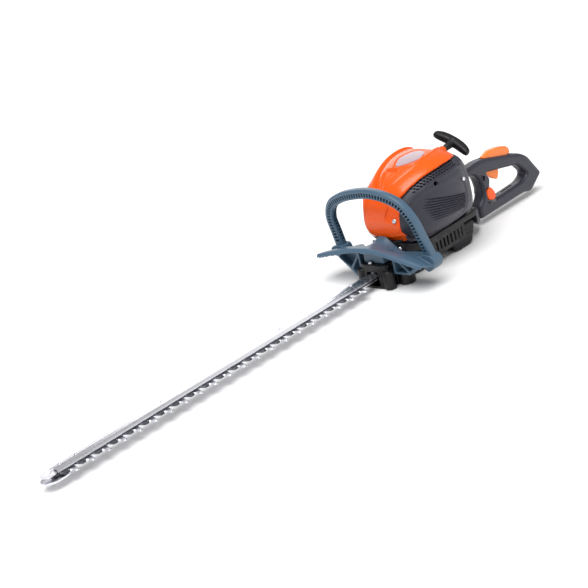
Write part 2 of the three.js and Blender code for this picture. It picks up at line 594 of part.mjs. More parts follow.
const chokeAt = [portX + 36, 0, crankHeight + 10];
const primerAt = [crankX + 8, 0, crankHeight + 6];
const plugHole = { radius: 4.5, at: [74, 0, crankHeight + 69] };
const ventZ = bodyTop - 38;
function sideCover(side) {
  const vents = [];
  for (let k = 0; k < 7; k += 1) {
    const x = 58 + k * 13;
    const corners = [[x, ventZ], [x + 6, ventZ], [x + 9, ventZ + 7], [x + 3, ventZ + 7]];
    vents.push(profile(corners, side < 0 ? -150 : 50, side < 0 ? -50 : 150));
  }
  const shell = cut(bodySkin.intersect(sideRegion(side, seamGap)), collarRoom, ...vents);
  if (side < 0) {
    return largest(cut(shell, rod(plugHole.radius, -150, -50, plugHole.at, AXES.y, 12),
      rod(exhaustRadius + 3, 40, crankHeight - 10, exhaustAt, AXES.z, 16)));
  }
  return largest(cut(shell,
    rod(5.6, 50, 150, chokeAt, AXES.y, 12), rod(10 + runGap, 50, 150, primerAt, AXES.y, 16)));
}
piece('left_side_cover', sideCover(-1), charcoal);
piece('right_side_cover', sideCover(1), charcoal);

const coverScrew = (at, axis, long) => turned(
  [[0, -long], [2, -long], [2, 0], [4.5, 0], [4.5, 2], [3, 3], [0, 3]], at, axis, 12);

// ---- engine base, tank -----------------------------------------------------------------------------
const tankX0 = 128;
const tankX1 = 196;
const tankAt = [162, 0, 23];
const neckRadius = 13;
function engineBase() {
  const side = [[8, caseHeight + 1], [60, caseHeight + 1], [66, 19], [160, 15], [208, 40],
    [208, shellBottom - 1.4],
    [62, shellBottom - 1.4], [30, shellBottom + 4.4], [8, shellBottom + 13.4]];
  const tray = profile(side, -baseHalfWidth, baseHalfWidth);
  const corners = plate([[8, -38], [40, -baseHalfWidth], [208, -baseHalfWidth + 4], [208, baseHalfWidth - 4],
    [40, baseHalfWidth], [8, 38]], 0, 100, 6);
  const wall = 3;
  const deckZ = caseHeight + 0.5;
  const under = profile([[50, 10], [50, deckZ], [205, deckZ], [205, 10]], -baseHalfWidth + wall,
    baseHalfWidth - wall);
  const over = profile([[12, deckZ + 4], [204, deckZ + 4], [204, shellBottom + 32], [12, shellBottom + 32]],
    -34, 34);
  const slots = [];
  for (let k = 0; k < 8; k += 1) {
    const x = 80 + k * 10.5;
    slots.push(block(x, x + 5, -80, 80, 25, 43));
  }
  const tower = ring(drumRadius + 3, drumRadius + 6, caseHeight + 1, flangeZ - gap, [crankX, 0, 0], AXES.z,
    24);
  const drumHole = rod(drumRadius + 3, 0, 100, [crankX, 0, 0], AXES.z, 24);
  const capHole = rod(neckRadius + 3, 0, 80, tankAt, AXES.y, 20);
  return cut(union(cut(tray.intersect(corners), under, over, ...slots), tower), drumHole, capHole);
}
piece('engine_base', engineBase(), black);

function fuelTank() {
  const side = [[tankX0, 8], [tankX0 + 8, 0], [tankX1 - 16, 0], [tankX1, 30], [tankX1, 44], [tankX0, 44]];
  const half = baseHalfWidth - 3 - 1;
  const outside = profile(side, -half, half, 4);
  const insideSide = [[tankX0 + 2, 9], [tankX0 + 9, 2], [tankX1 - 17, 2], [tankX1 - 2.5, 30],
    [tankX1 - 2.5, 42], [tankX0 + 2, 42]];
  const room = profile(insideSide, -half + 2, half - 2, 4);
  const neck = rod(neckRadius, half - 2, half + 8, tankAt, AXES.y, 20);
  return cut(union(cut(outside, room), neck), rod(neckRadius - 3, 20, 80, tankAt, AXES.y, 20));
}
piece('fuel_tank', fuelTank(), black);
const neckEnd = baseHalfWidth - 4 + 8;
piece('fuel_cap', union(
  ring(neckRadius + runGap, neckRadius + 4, baseHalfWidth + 0.6, neckEnd + 4, tankAt, AXES.y, 20),
  rod(neckRadius + 4, neckEnd + gap, neckEnd + 4, tankAt, AXES.y, 20),
  block(tankAt[0] - 13, tankAt[0] + 13, neckEnd + 3, neckEnd + 8, tankAt[2] - 2.5, tankAt[2] + 2.5)), black);

const chokeY = coverSurface(1, chokeAt[0] - 9, chokeAt[2] + 22) + 0.6;
piece('choke_lever', union(
  rod(5, chokeY - 16, chokeY + 2, chokeAt, AXES.y, 12),
  rod(9, chokeY + 1, chokeY + 5, chokeAt, AXES.y, 16),
  block(chokeAt[0] - 4, chokeAt[0] + 4, chokeY + 1, chokeY + 5, chokeAt[2], chokeAt[2] + 24)), amber);
const primerY = coverSurface(1, primerAt[0], primerAt[2]);
piece('primer_bulb', turned([[0, primerY - 12], [10, primerY - 12], [10, primerY + 2], [8.5, primerY + 7],
  [5, primerY + 10], [0, primerY + 11]], primerAt, AXES.y, 16), clear);

piece('nose_screw', coverScrew([2.6, -36, 116.5], new THREE.Vector3(-0.86, -0.22, 0.46), 0), steel);

// ---- pull starter ----------------------------------------------------------------------------------
piece('starter_collar', ring(5, 12, -10, 9, pullAt, pullAxis, 20), orange);
function starterGrip() {
  const lean = 0.37;
  const across = new THREE.Vector3(0, Math.cos(lean), Math.sin(lean));
  const up = new THREE.Vector3().crossVectors(pullAxis, across);
  const hub = new THREE.Vector3(...pullAt).addScaledVector(pullAxis, 40);
  const rings = [];
  for (let k = 0; k <= 10; k += 1) {
    const t = k / 5 - 1;
    const bow = -7 * t * t;
    const wide = 7.5 * Math.sqrt(1 - 0.75 * t ** 4);
    const deep = 8.5 * Math.sqrt(1 - 0.75 * t ** 4);
    const ringPoints = [];
    for (let j = 0; j < 12; j += 1) {
      const a = (j / 12) * 2 * Math.PI;
      const p = hub.clone().addScaledVector(across, 42 * t)
        .addScaledVector(pullAxis, bow + deep * Math.cos(a)).addScaledVector(up, wide * Math.sin(a));
      ringPoints.push(p.toArray());
    }
    rings.push(ringPoints);
  }
  return union(loft(rings), turned([[0, 0], [5 - runGap, 0], [5 - runGap, 12], [6.5, 14], [8, 34], [0, 34]],
    pullAt, pullAxis, 14));
}
piece('starter_handle', starterGrip(), black);

// The rope leaves the pulley's groove and runs straight to the grip's stem.
function starterRope() {
  const groove = new THREE.Vector3(crankX + 6, ropeOutY + 0.2, pulleyZ + 4.5);
  const outside = new THREE.Vector3(crankX + 24, ropeOutY + 0.6, pulleyZ + 4.5);
  const stem = new THREE.Vector3(...pullAt).addScaledVector(pullAxis, -2 * gap);
  const path = new THREE.CatmullRomCurve3([groove, outside, outside.clone().lerp(stem, 0.5), stem]);
  const circle = new THREE.Shape().absarc(0, 0, 1.5, 0, 2 * Math.PI);
  return solid(new THREE.ExtrudeGeometry(circle, { steps: 6, extrudePath: path, curveSegments: 4,
    bevelEnabled: false }));
}
piece('starter_rope', starterRope(), black);

// ---- front handle and guard ------------------------------------------------------------------------
// The loop's centre line as (x, y, z), from its left foot over the top to its right foot.
const LOOP = [[0, loopHalfWidth - 2, loopFootZ + 6], [-3, loopHalfWidth + 3, 90],
  [-8, loopHalfWidth + 3, 120],
  [-12, 101, 147], [-16, 70, loopTop - 16], [-19, 35, loopTop - 6], [-20, -10, loopTop],
  [-19, -50, loopTop - 5],
  [-16, -80, loopTop - 20], [-12, -99, 129], [-7, -106, 96], [-2, -112, 64], [0, -loopHalfWidth + 1, 48],
  [0, -loopHalfWidth + 6, 36]];
function loopHandle() {
  const path = new THREE.CatmullRomCurve3(LOOP.map((p) => new THREE.Vector3(...p)));
  const steps = 34;
  const rings = [];
  const half = [8, 9.5];
  const corner = 3.5;
  for (let k = 0; k <= steps; k += 1) {
    const p = path.getPointAt(k / steps);
    const along = path.getTangentAt(k / steps);
    const forward = AXES.x.clone().addScaledVector(along, -along.x).normalize();
    const outward = new THREE.Vector3().crossVectors(along, forward);
    const ringPoints = [];
    for (const [a, b] of [[1, 1], [-1, 1], [-1, -1], [1, -1]]) {
      const ends = a * b > 0 ? [[0, 1], [1, 0]] : [[1, 0], [0, 1]];
      for (const [ca, cb] of ends) {
        const q = p.clone().addScaledVector(forward, a * (half[0] - corner * ca)).addScaledVector(outward,
          b * (half[1] - corner * cb));
        ringPoints.push(q.toArray());
      }
    }
    rings.push(ringPoints);
  }
  return loft(rings);
}
piece('front_handle', loopHandle(), slate);

// The guard: a wing across the tool, highest in the middle, with a ramp up to the nose and side struts.
const guardHeight = (y) => 80 - 21 * (Math.abs(y) / 120) ** 1.6 + 0.02 * y;
function guardWing() {
  const rings = [];
  const [left, right] = [136, -126];
  for (let k = 0; k <= 20; k += 1) {
    const y = left + ((right - left) * k) / 20;
    const edge = Math.max(0, 1 - Math.abs((y - 5) / 131.5) ** 4);
    const beside = Math.min(1, Math.max(0, (Math.abs(y) - 50) / 25));
    const frontX = -46 - 5 * edge;
    const rearX = frontX + 6 + (46 + 20 * beside) * edge ** 0.35;
    const front = guardHeight(y);
    const ramp = Math.max(0, 86 - front + 15 - 0.85 * Math.max(0, Math.abs(y) - 9));
    const top = [[0, -6], [0.06, -1], [0.16, 0], [0.4, -3], [0.7, -11 + 0.4 * ramp],
      [1, -15 + Math.min(ramp, 21)]];
    const place = (drop) => ([u, h]) => [frontX + u * (rearX - frontX), y, front + h - drop];
    rings.push([...top.map(place(0)), ...top.map(place(guardThickness)).reverse()]);
  }
  return loft(rings);
}
function handGuard() {
  const strut = (face) => {
    const near = Math.min(...face.map(([y]) => Math.abs(y)));
    const side = Math.sign(face[0][0]);
    const low = face[0][1];
    const wall = [side * near, side * (near + 3.5)].sort((a, b) => a - b);
    return union(section(face, -31, -27), section(face, -14, -10), block(-31, -10, ...wall, low, 68));
  };
  const struts = [strut([[39, 16], [56, 14], [70, 28], [94, 48], [94, 58], [39, 68]]),
    strut([[-42, 27], [-42, 68], [-98, 58], [-102, 48], [-98, 40], [-80, 28]])];
  const pedestal = block(-34, -14, -24, 24, caseHeight + gap, 73);
  const wing = union(guardWing(), ...struts, pedestal);
  const screwPocket = rod(7, caseHeight, caseHeight + 4.6, [barScrewX, boltY, 0], AXES.z, 16);
  return cut(wing, loopRoom, screwPocket, rod(2.3, -30, 30, [-25, 0, caseHeight + 12], AXES.y, 12));
}
// The loop's feet pass into sockets in the guard.
const loopRoom = union(...[1, -1].map((side) => {
  const y = side * (loopHalfWidth - 1);
  const z0 = side > 0 ? loopFootZ - 1 : 30;
  return block(-10.5, 9.5, y - 14.6, y + 14.6, z0, 100);
}));
piece('hand_guard', largest(handGuard()), slate);
[1, -1].forEach((side) => {
  const name = side > 0 ? 'guard_screw_right' : 'guard_screw_left';
  piece(name, coverScrew([7.5, side * 31, 60], new THREE.Vector3(-1, 0, 0), 0), steel);
});

// ---- rear handle -----------------------------------------------------------------------------------
const handleFront = 224.3;
const OUTER = [[handleFront, 117], [238, 118], [255, 121], [282, 123], [306, 120], [403, 93], [423, 80],
  [445, 47],
  [454, 34], [414, 8], [396, 14], [299, 13], [262, 12], [256.8, 16], [256.8, 42], [266, 52], [268, 66],
  [263, 88], [253, 104],
  [240, 106], [handleFront, 101]];
const OPENING = [[296, 94], [390, 74], [413, 47], [393, 38], [305, 35], [297, 66], [304, 80]];
const POCKET = [[273, 44], [273, 84], [266, 106], [284, 117.5], [305, 115.5], [398, 89.5], [402, 87],
  [391, 79],
  [294, 99.5], [292, 66], [297, 44]];
const triggerPivot = [304, 105];
const lockPivot = [322, 113];
const switchPivot = [290, 50];
function handleHalf(side) {
  const across = (near, far) => (side < 0 ? [-far, -near] : [near, far]);
  const body = profile(OUTER, ...across(0.15, handleHalfWidth), 7);
  const grip = profile(OPENING, -50, 50, 7);
  const pocket = profile(POCKET, ...across(-1, handleHalfWidth - 3.5));
  const triggerSlot = profile([[296, 106], [348, 104], [348, 60], [296, 60]], -7, 7);
  const lockSlot = profile([[309, 100], [309, 140], [387, 140], [387, 80]], -7, 7);
  const switchSlot = profile([[283, 34], [283, 66], [315, 66], [315, 34]], -20, 7);
  const pins = [triggerPivot, lockPivot].map(([x, z]) =>
    rod(2, ...across(0.15, handleHalfWidth - 2), [x, 0, z], AXES.y, 10));
  if (side > 0) pins.push(rod(2, -4, handleHalfWidth - 2, [switchPivot[0], 0, switchPivot[1]], AXES.y, 10));
  return union(cut(body, grip, pocket, triggerSlot, lockSlot, switchSlot), ...pins);
}
piece('rear_handle_left', largest(handleHalf(-1)), charcoal);
piece('rear_handle_right', largest(handleHalf(1)), charcoal);

const leverHalf = 5.8;
const pinHole = ([x, z]) => rod(2 + runGap, -20, 20, [x, 0, z], AXES.y, 12);
piece('throttle_trigger', cut(profile([[298, 108], [307, 109], [318, 101], [337, 94], [340, 80], [332, 66],
  [318, 74], [299, 92]], -leverHalf, leverHalf, 4), pinHole(triggerPivot)), amber);
piece('throttle_lock', cut(profile([[316, 106.5], [312, 121], [322, 127], [350, 125], [377, 118], [384, 112],
  [384, 102], [370, 101], [332, 107]], -leverHalf, leverHalf, 3), pinHole(lockPivot)), amber);
// The switch reaches out through the left side, so that the thumb finds it.
piece('stop_switch', cut(profile([[285, 42], [285, 60], [300, 62], [306, 56], [300, 38], [292, 38]],
  -handleHalfWidth + 0.4, leverHalf, 3), rod(2 + runGap, -4.4, 20, [switchPivot[0], 0, switchPivot[1]],
    AXES.y, 12)), orange);

// The handle hangs on two rubber mounts: one on the rear of the covers, one on the bracket below.
const upperMountZ = 109;
piece('handle_mount_upper', rod(9, bodyRear + gap, handleFront - gap, [0, 0, upperMountZ], AXES.x, 16),
  rubber);
function handleBracket() {
  const ends = [[208 + gap, 47, 30, 55], [226, 34, 18, 52], [249, 16, 13, 42]];
  return loft(ends.map(([x, half, z0, z1]) => [[x, -half, z0], [x, half, z0], [x, half, z1],
    [x, -half, z1]]));
}
piece('handle_bracket', handleBracket(), charcoal);
piece('handle_mount_lower', rod(10, 249 + gap, 256.5, [0, 0, 28], AXES.x, 16), rubber);

function throttleCable() {
  const path = new THREE.CatmullRomCurve3([new THREE.Vector3(234, -9, 101.5), new THREE.Vector3(240, -10, 82),
    new THREE.Vector3(241, -10, 64), new THREE.Vector3(237, -10, 49.5)]);
  const circle = new THREE.Shape().absarc(0, 0, 3.2, 0, 2 * Math.PI);
  return solid(new THREE.ExtrudeGeometry(circle, { steps: 10, extrudePath: path, curveSegments: 4,
    bevelEnabled: false }));
}
piece('throttle_cable', throttleCable(), rubber);

export default model;
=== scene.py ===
"""A petrol hedge trimmer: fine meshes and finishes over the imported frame, laid out as an add-on."""

import json
import math
from typing import NamedTuple

import bmesh
import bpy
import numpy as np
from mathutils import Matrix, Vector


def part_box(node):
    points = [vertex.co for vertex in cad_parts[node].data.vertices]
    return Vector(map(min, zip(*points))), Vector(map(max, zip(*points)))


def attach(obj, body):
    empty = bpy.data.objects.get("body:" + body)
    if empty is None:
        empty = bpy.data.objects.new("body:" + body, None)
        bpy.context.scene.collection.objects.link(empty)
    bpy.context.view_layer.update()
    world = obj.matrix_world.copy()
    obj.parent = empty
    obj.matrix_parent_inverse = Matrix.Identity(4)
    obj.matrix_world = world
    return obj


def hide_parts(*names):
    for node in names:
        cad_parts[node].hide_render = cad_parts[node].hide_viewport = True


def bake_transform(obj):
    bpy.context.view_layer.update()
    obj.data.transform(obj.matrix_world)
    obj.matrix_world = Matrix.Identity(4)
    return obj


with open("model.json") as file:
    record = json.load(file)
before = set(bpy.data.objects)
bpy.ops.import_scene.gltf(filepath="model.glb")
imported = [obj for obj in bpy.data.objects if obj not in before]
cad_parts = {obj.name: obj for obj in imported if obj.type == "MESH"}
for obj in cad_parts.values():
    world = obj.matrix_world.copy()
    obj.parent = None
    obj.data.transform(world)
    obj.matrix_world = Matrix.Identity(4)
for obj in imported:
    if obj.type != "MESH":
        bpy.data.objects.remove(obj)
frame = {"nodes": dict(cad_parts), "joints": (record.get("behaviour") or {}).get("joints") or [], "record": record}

bl_info = {
    "name": "Hedge Trimmer",
    "version": (1, 0, 0),
    "blender": (4, 5, 0),
    "location": "View3D > Sidebar > Hedge Trimmer",
    "description": "Builds the visible pieces of a petrol hedge trimmer on its frame",
    "category": "Add Mesh",
}

MM = 0.001  # shapes are worked out in millimetres and made in metres
NODE_SLOT = {row["node"]: row["material_slot"] for row in frame["record"]["subparts"]}
NODE_BODY = {
    node: body for body, nodes in frame["record"]["behaviour"]["bodies"].items() for node in nodes
}
JOINTS = {joint["name"]: joint for joint in frame["joints"]}


def node_box(node):
    """Lowest and highest corner of a node, in millimetres."""
    low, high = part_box(node)
    return np.array(low) / MM, np.array(high) / MM


def pivot(joint):
    """Where a hinge turns, in millimetres."""
    return np.array(JOINTS[joint]["pos_m"]) / MM


# ---- what a user may change ---------------------------------------------------------------------


def length(name, description, default):
    return bpy.props.FloatProperty(
        name=name, description=description, default=default * MM, unit="LENGTH", precision=4
    )


def colour(name, description, default):
    return bpy.props.FloatVectorProperty(
        name=name, description=description, default=default, subtype="COLOR", size=3, min=0, max=1
    )


class TrimmerSizes(bpy.types.PropertyGroup):
    """Sizes of the details that sit on the frame's shapes."""

    grip_edge: length("Grip edge radius", "Rounding of the rear handle's bars", 8.4)
    rib_count: bpy.props.IntProperty(
        name="Ribs", description="Grooves on each side cover", default=9, min=0, max=20
    )
    rib_depth: length("Rib depth", "Depth of the grooves on the side covers", 2.1)
    panel_depth: length("Panel depth", "How far the ribbed panel lies below its border", 2.2)
    vent_pitch: length("Vent pitch", "Distance between the cooling slots in a row", 7.0)
    vent_rows: bpy.props.IntProperty(
        name="Vent rows", description="Rows of cooling slots under the seam", default=3, min=1, max=6
    )
    pocket_pitch: length("Pocket pitch", "Distance between the pockets along the front handle", 6.6)
    pocket_depth: length("Pocket depth", "Depth of the pockets in the front handle", 5.5)
    tooth_bevel: length("Tooth bevel", "Width of the ground flank of a tooth", 2.6)
    floor_size: length("Floor size", "Side of the floor", 30000)


class TrimmerColours(bpy.types.PropertyGroup):
    """Base colours of the finishes; the lit orange of the levers holds painted highlight and the upper blade's
    steel holds painted shade.
    """

    orange: colour("Orange", "Gloss plastic of the top cover", (1.0, 0.105, 0.001))
    # Painted highlight: the trigger and levers are the same orange plastic as the top cover, coloured lighter and
    # yellower as it looks where light falls on it from above.
    amber: colour("Amber", "Gloss plastic of the trigger and levers", (1.0, 0.20, 0.004))
    charcoal: colour("Charcoal", "Moulded nylon of the side covers and rear handle", (0.029, 0.029, 0.044))
    slate: colour("Slate", "Moulded nylon of the front handle and guard", (0.060, 0.115, 0.175))
    black: colour("Black", "Moulded nylon of the base and tank", (0.006, 0.006, 0.008))
    case: colour("Case black", "Paint on the gear case", (0.0045, 0.0045, 0.0055))
    bright: colour("Bright steel", "Ground steel of the bar and the lower blade", (0.82, 0.82, 0.87))
    # Painted shade: the upper blade is steel like the lower blade, coloured dark as its teeth look in shadow.
    dark: colour("Dark steel", "Hardened steel of the upper blade", (0.085, 0.09, 0.11))
    alloy: colour("Alloy", "Cast alloy of the engine", (0.50, 0.51, 0.52))
    window: colour("Window", "Pale insert in the top cover", (0.44, 0.33, 0.37))
    rubber: colour("Rubber", "Mounts, boots and cable jackets", (0.008, 0.008, 0.009))
    floor: colour("Floor", "The plain floor", (0.88, 0.88, 0.88))


def sizes():
    return bpy.context.scene.trimmer_sizes


def colours():
    return bpy.context.scene.trimmer_colours


# ---- curves and meshes --------------------------------------------------------------------------


def smooth(low, high, value):
    """A soft step from 0 at low to 1 at high."""
    t = np.clip((np.asarray(value, float) - low) / (high - low), 0, 1)
    return t * t * (3 - 2 * t)


def through(points, count):
    """Points evenly along a smooth curve through the given ones."""
    p = np.array(points, float)
    ends = np.vstack([2 * p[0] - p[1], p, 2 * p[-1] - p[-2]])
    dense = []
    for a, b, c, d in zip(ends, ends[1:], ends[2:], ends[3:]):
        square, cube = 2 * a - 5 * b + 4 * c - d, 3 * b - a - 3 * c + d
        for t in np.linspace(0, 1, 120, endpoint=False):
            dense.append(0.5 * (2 * b + (c - a) * t + square * t**2 + cube * t**3))
    dense = np.array(dense + [p[-1]])
    run = np.concatenate([[0], np.cumsum(np.linalg.norm(np.diff(dense, axis=0), axis=1))])
    at = np.linspace(0, run[-1], count)
    return np.stack([np.interp(at, run, dense[:, k]) for k in range(p.shape[1])], 1)


def line(points):
    """A smooth function through (x, value) points."""
    dense = through(points, 4000)
    return lambda x: np.interp(x, dense[:, 0], dense[:, 1])


def ridge(distance, width):
    """A soft ridge, 1 high where the distance is 0."""
    return np.exp(-((distance / width) ** 2))


def span(side, near, far):
    """From near to far on one side of the middle, lowest first."""
    return sorted((side * near, side * far))


def rectangle(x0, y0, x1, y1):
    return [(x0, y0), (x1, y0), (x1, y1), (x0, y1)]


def rounded(points, radius, steps=6):
    """A closed outline with its corners rounded."""
    p = [np.array(q, float) for q in points]
    out = []
    for i, corner in enumerate(p):
        before, after = p[i - 1] - corner, p[(i + 1) % len(p)] - corner
        start = corner + before * min(radius / np.linalg.norm(before), 0.46)
        end = corner + after * min(radius / np.linalg.norm(after), 0.46)
        for t in np.linspace(0, 1, steps + 1):
            out.append((1 - t) ** 2 * start + 2 * t * (1 - t) * corner + t**2 * end)
    return np.array(out)


def mesh_piece(name, points, faces):
    mesh = bpy.data.meshes.new(name)
    mesh.from_pydata([tuple(float(c) * MM for c in p) for p in points], [], faces)
    work = bmesh.new()
    work.from_mesh(mesh)
    bmesh.ops.remove_doubles(work, verts=work.verts, dist=1e-7)
    bmesh.ops.recalc_face_normals(work, faces=work.faces)
    work.to_mesh(mesh)
    work.free()
    piece = bpy.data.objects.new(name, mesh)
    bpy.context.scene.collection.objects.link(piece)
    return piece


def loft(name, rings):
    """A skin through rings of equal length, with flat ends."""
    rings = [np.asarray(r, float) for r in rings]
    n, last = len(rings[0]), len(rings) - 1
    faces = []
    for a in range(0, last * n, n):
        faces += [(a + k, a + (k + 1) % n, a + n + (k + 1) % n, a + n + k) for k in range(n)]
    faces += [tuple(range(n))[::-1], tuple(range(last * n, (last + 1) * n))]
    return mesh_piece(name, np.vstack(rings), faces)


PLANES = {"xz": (0, 2, 1), "xy": (0, 1, 2), "yz": (1, 2, 0)}
X, Y, Z = (1, 0, 0), (0, 1, 0), (0, 0, 1)


def prism(name, outline, plane, low, high):
    """A closed outline in one plane, drawn out from low to high across it."""
    a, b, c = PLANES[plane]
    rings = []
    for depth in (low, high):
        ring = np.zeros((len(outline), 3))
        ring[:, a], ring[:, b], ring[:, c] = np.array(outline)[:, 0], np.array(outline)[:, 1], depth
        rings.append(ring)
    return loft(name, rings)


def block(name, low, high):
    (x0, y0, z0), (x1, y1, z1) = low, high
    return prism(name, rectangle(x0, y0, x1, y1), "xy", z0, z1)


def basis(axis):
    """Two directions across an axis."""
    axis = np.array(axis, float) / np.linalg.norm(axis)
    side = np.cross(axis, (0, 0, 1) if abs(axis[2]) < 0.9 else (1, 0, 0))
    side /= np.linalg.norm(side)
    return axis, side, np.cross(axis, side)


def turned(name, pairs, at, axis=(0, 0, 1), segments=40, swell=None):
    """A turned piece from pairs of radius and distance along an axis. swell scales the radius by angle."""
    axis, side, up = basis(axis)
    rings = []
    for radius, along in pairs:
        ring = []
        for k in range(segments):
            angle = 2 * math.pi * k / segments
            r = radius * (swell(angle, along) if swell else 1)
            ring.append(np.array(at) + axis * along + r * (side * math.cos(angle) + up * math.sin(angle)))
        rings.append(ring)
    return loft(name, rings)


def lens(name, at, axis, radius, depth, sides=24):
    """A plain round cutter along an axis."""
    return turned(name, [(radius, -depth), (radius, depth)], at, axis, sides)


def tube(name, path, radius, sides=16):
    """A round tube along a path. radius is a number or one for each point."""
    path = np.asarray(path, float)
    radii = np.broadcast_to(radius, len(path))
    along = np.gradient(path, axis=0)
    along /= np.linalg.norm(along, axis=1)[:, None]
    side = basis(along[0])[1]
    rings = []
    for p, d, r in zip(path, along, radii):
        side = side - d * (side @ d)
        side /= np.linalg.norm(side)
        up = np.cross(d, side)
        angles = [2 * math.pi * k / sides for k in range(sides)]
        rings.append([p + r * (side * math.cos(a) + up * math.sin(a)) for a in angles])
    return loft(name, rings)


def settle(piece):
    """Applies a piece's modifiers to its mesh."""
    depsgraph = bpy.context.evaluated_depsgraph_get()
    mesh = bpy.data.meshes.new_from_object(piece.evaluated_get(depsgraph))
    piece.modifiers.clear()
    piece.data = mesh
    return piece


def carve(piece, *tools, how="DIFFERENCE"):
    """Cuts tools from a piece, joins them to it or keeps only what they share."""
    for tool in tools:
        step = piece.modifiers.new("carve", "BOOLEAN")
        step.operation, step.object, step.solver = how, tool, "MANIFOLD"
    settle(piece)
    for tool in tools:
        bpy.data.objects.remove(tool)
    if not piece.data.polygons:
        raise RuntimeError(f"{piece.name} has nothing left after a cut")
    return piece


def gathered(name, pieces):
    """Several separate bodies as one object, to cut with at one go."""
    points, faces = [], []
    for piece in pieces:
        start = len(points)
        points += [v.co / MM for v in piece.data.vertices]
        faces += [tuple(start + k for k in f.vertices) for f in piece.data.polygons]
        bpy.data.objects.remove(piece)
    return mesh_piece(name, points, faces)


def copy_of(piece, name):
    made = bpy.data.objects.new(name, piece.data.copy())
    bpy.context.scene.collection.objects.link(made)
    return made


def keep_largest(piece):
    """Drops loose scraps that a cut has left beside the main body."""
    work = bmesh.new()
    work.from_mesh(piece.data)
    work.verts.ensure_lookup_table()
    seen, islands = set(), []
    for start in work.verts:
        if start.index in seen:
            continue
        stack, island = [start], []
        seen.add(start.index)
        while stack:
            v = stack.pop()
            island.append(v)
            for e in v.link_edges:
                w = e.other_vert(v)
                if w.index not in seen:
                    seen.add(w.index)
                    stack.append(w)
        islands.append(island)
    islands.sort(key=len)
    for island in islands[:-1]:
        bmesh.ops.delete(work, geom=island, context="VERTS")
    work.to_mesh(piece.data)
    work.free()
    return piece


def flatten(piece):
    """Joins the flat faces that a cut has left split."""
    work = bmesh.new()
    work.from_mesh(piece.data)
    bmesh.ops.remove_doubles(work, verts=work.verts, dist=2e-6)
    bmesh.ops.dissolve_limit(work, angle_limit=0.01, verts=work.verts, edges=work.edges)
    work.to_mesh(piece.data)
    work.free()
    return piece


def soften(piece, width, segments=3, angle=30, clamp=True):
    """Rounds the edges of a piece."""
    step = piece.modifiers.new("edge", "BEVEL")
    step.width, step.segments, step.limit_method = width * MM, segments, "ANGLE"
    step.angle_limit, step.use_clamp_overlap = math.radians(angle), clamp
    return settle(piece)


def moulded(piece, voxel, passes=4):
    """Rebuilds a piece as an even skin with every edge rounded, as a casting has."""
    step = piece.modifiers.new("skin", "REMESH")
    step.mode, step.voxel_size, step.use_smooth_shade = "VOXEL", voxel * MM, True
    ease = piece.modifiers.new("ease", "SMOOTH")
    ease.factor, ease.iterations = 0.5, passes
    return settle(piece)


def node_copy(node, name):
    """The frame's own shape as a new piece, to be refined."""
    source = frame["nodes"][node].data
    points = [v.co / MM for v in source.vertices]
    return flatten(mesh_piece(name, points, [tuple(f.vertices) for f in source.polygons]))


def shade(piece, angle=38):
    piece.data.shade_smooth()
    piece.data.set_sharp_from_angle(angle=math.radians(angle))


def place(piece, *nodes, slot=None, body=None, angle=38):
    """Gives a piece its finish and shading, and hangs it on the frame in place of its nodes."""
    slot = slot or NODE_SLOT[nodes[0]]
    shade(piece, angle)
    piece.data.materials.clear()
    piece.data.materials.append(finish(slot))
    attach(piece, body or NODE_BODY[nodes[0]])
    if nodes:
        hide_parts(*nodes)
    return piece


# ---- finishes -----------------------------------------------------------------------------------


class Recipe(NamedTuple):
    """How a finish is made."""

    colour: str
    rough: float
    grain: float  # size of the surface grain, in metres
    stand: float  # how strongly the grain stands
    mottle: float  # how much the colour varies
    wear: float = 0.0  # how far rubbed edges lighten
    coat: float = 0.0
    specular: float = 0.5
    metallic: float = 0.0
    brushed: float = 1.0  # how much the grain is drawn out along X


FINISH = {
    "orange_plastic": Recipe("orange", 0.24, 0.0011, 0.0006, 0.02, coat=0.12, specular=0.4),
    # The trigger and levers: orange plastic with painted highlight, lighter as under the light from above.
    "amber_plastic": Recipe("amber", 0.30, 0.0010, 0.03, 0.05, wear=0.08, coat=0.4),
    "window_plastic": Recipe("window", 0.30, 0.0020, 0.01, 0.04),
    "bulb_plastic": Recipe("window", 0.22, 0.0012, 0.02, 0.08, coat=0.4),
    "charcoal_plastic": Recipe("charcoal", 0.40, 0.00055, 0.22, 0.10, wear=0.22, specular=0.45),
    "slate_plastic": Recipe("slate", 0.36, 0.00060, 0.18, 0.08, wear=0.20),
    "black_plastic": Recipe("black", 0.42, 0.00060, 0.10, 0.12, wear=0.12, specular=0.3),
    "case_black": Recipe("case", 0.36, 0.0009, 0.35, 0.2, wear=0.25, specular=0.35),
    "blade_steel": Recipe("bright", 0.28, 0.00025, 0.003, 0.03, metallic=1.0, brushed=30),
    # The upper blade: steel darkened with painted shade.
    "blade_dark": Recipe("dark", 0.34, 0.00030, 0.006, 0.18, wear=0.5, metallic=1.0, brushed=12),
    "engine_alloy": Recipe("alloy", 0.5, 0.0007, 0.4, 0.1, wear=0.1, metallic=1.0),
    "mount_rubber": Recipe("rubber", 0.62, 0.0008, 0.25, 0.15, wear=0.1),
    "filter_foam": Recipe("rubber", 0.9, 0.0016, 0.9, 0.3),
    "starter_cord": Recipe("black", 0.75, 0.0006, 0.6, 0.3, wear=0.1, brushed=0.4),
}
GRAIN_HEIGHT = 0.0004
COAT_ROUGHNESS = 0.06
RUBBED_GREY, RUBBED_SHARE = 0.62, 0.55
made_finishes = {}


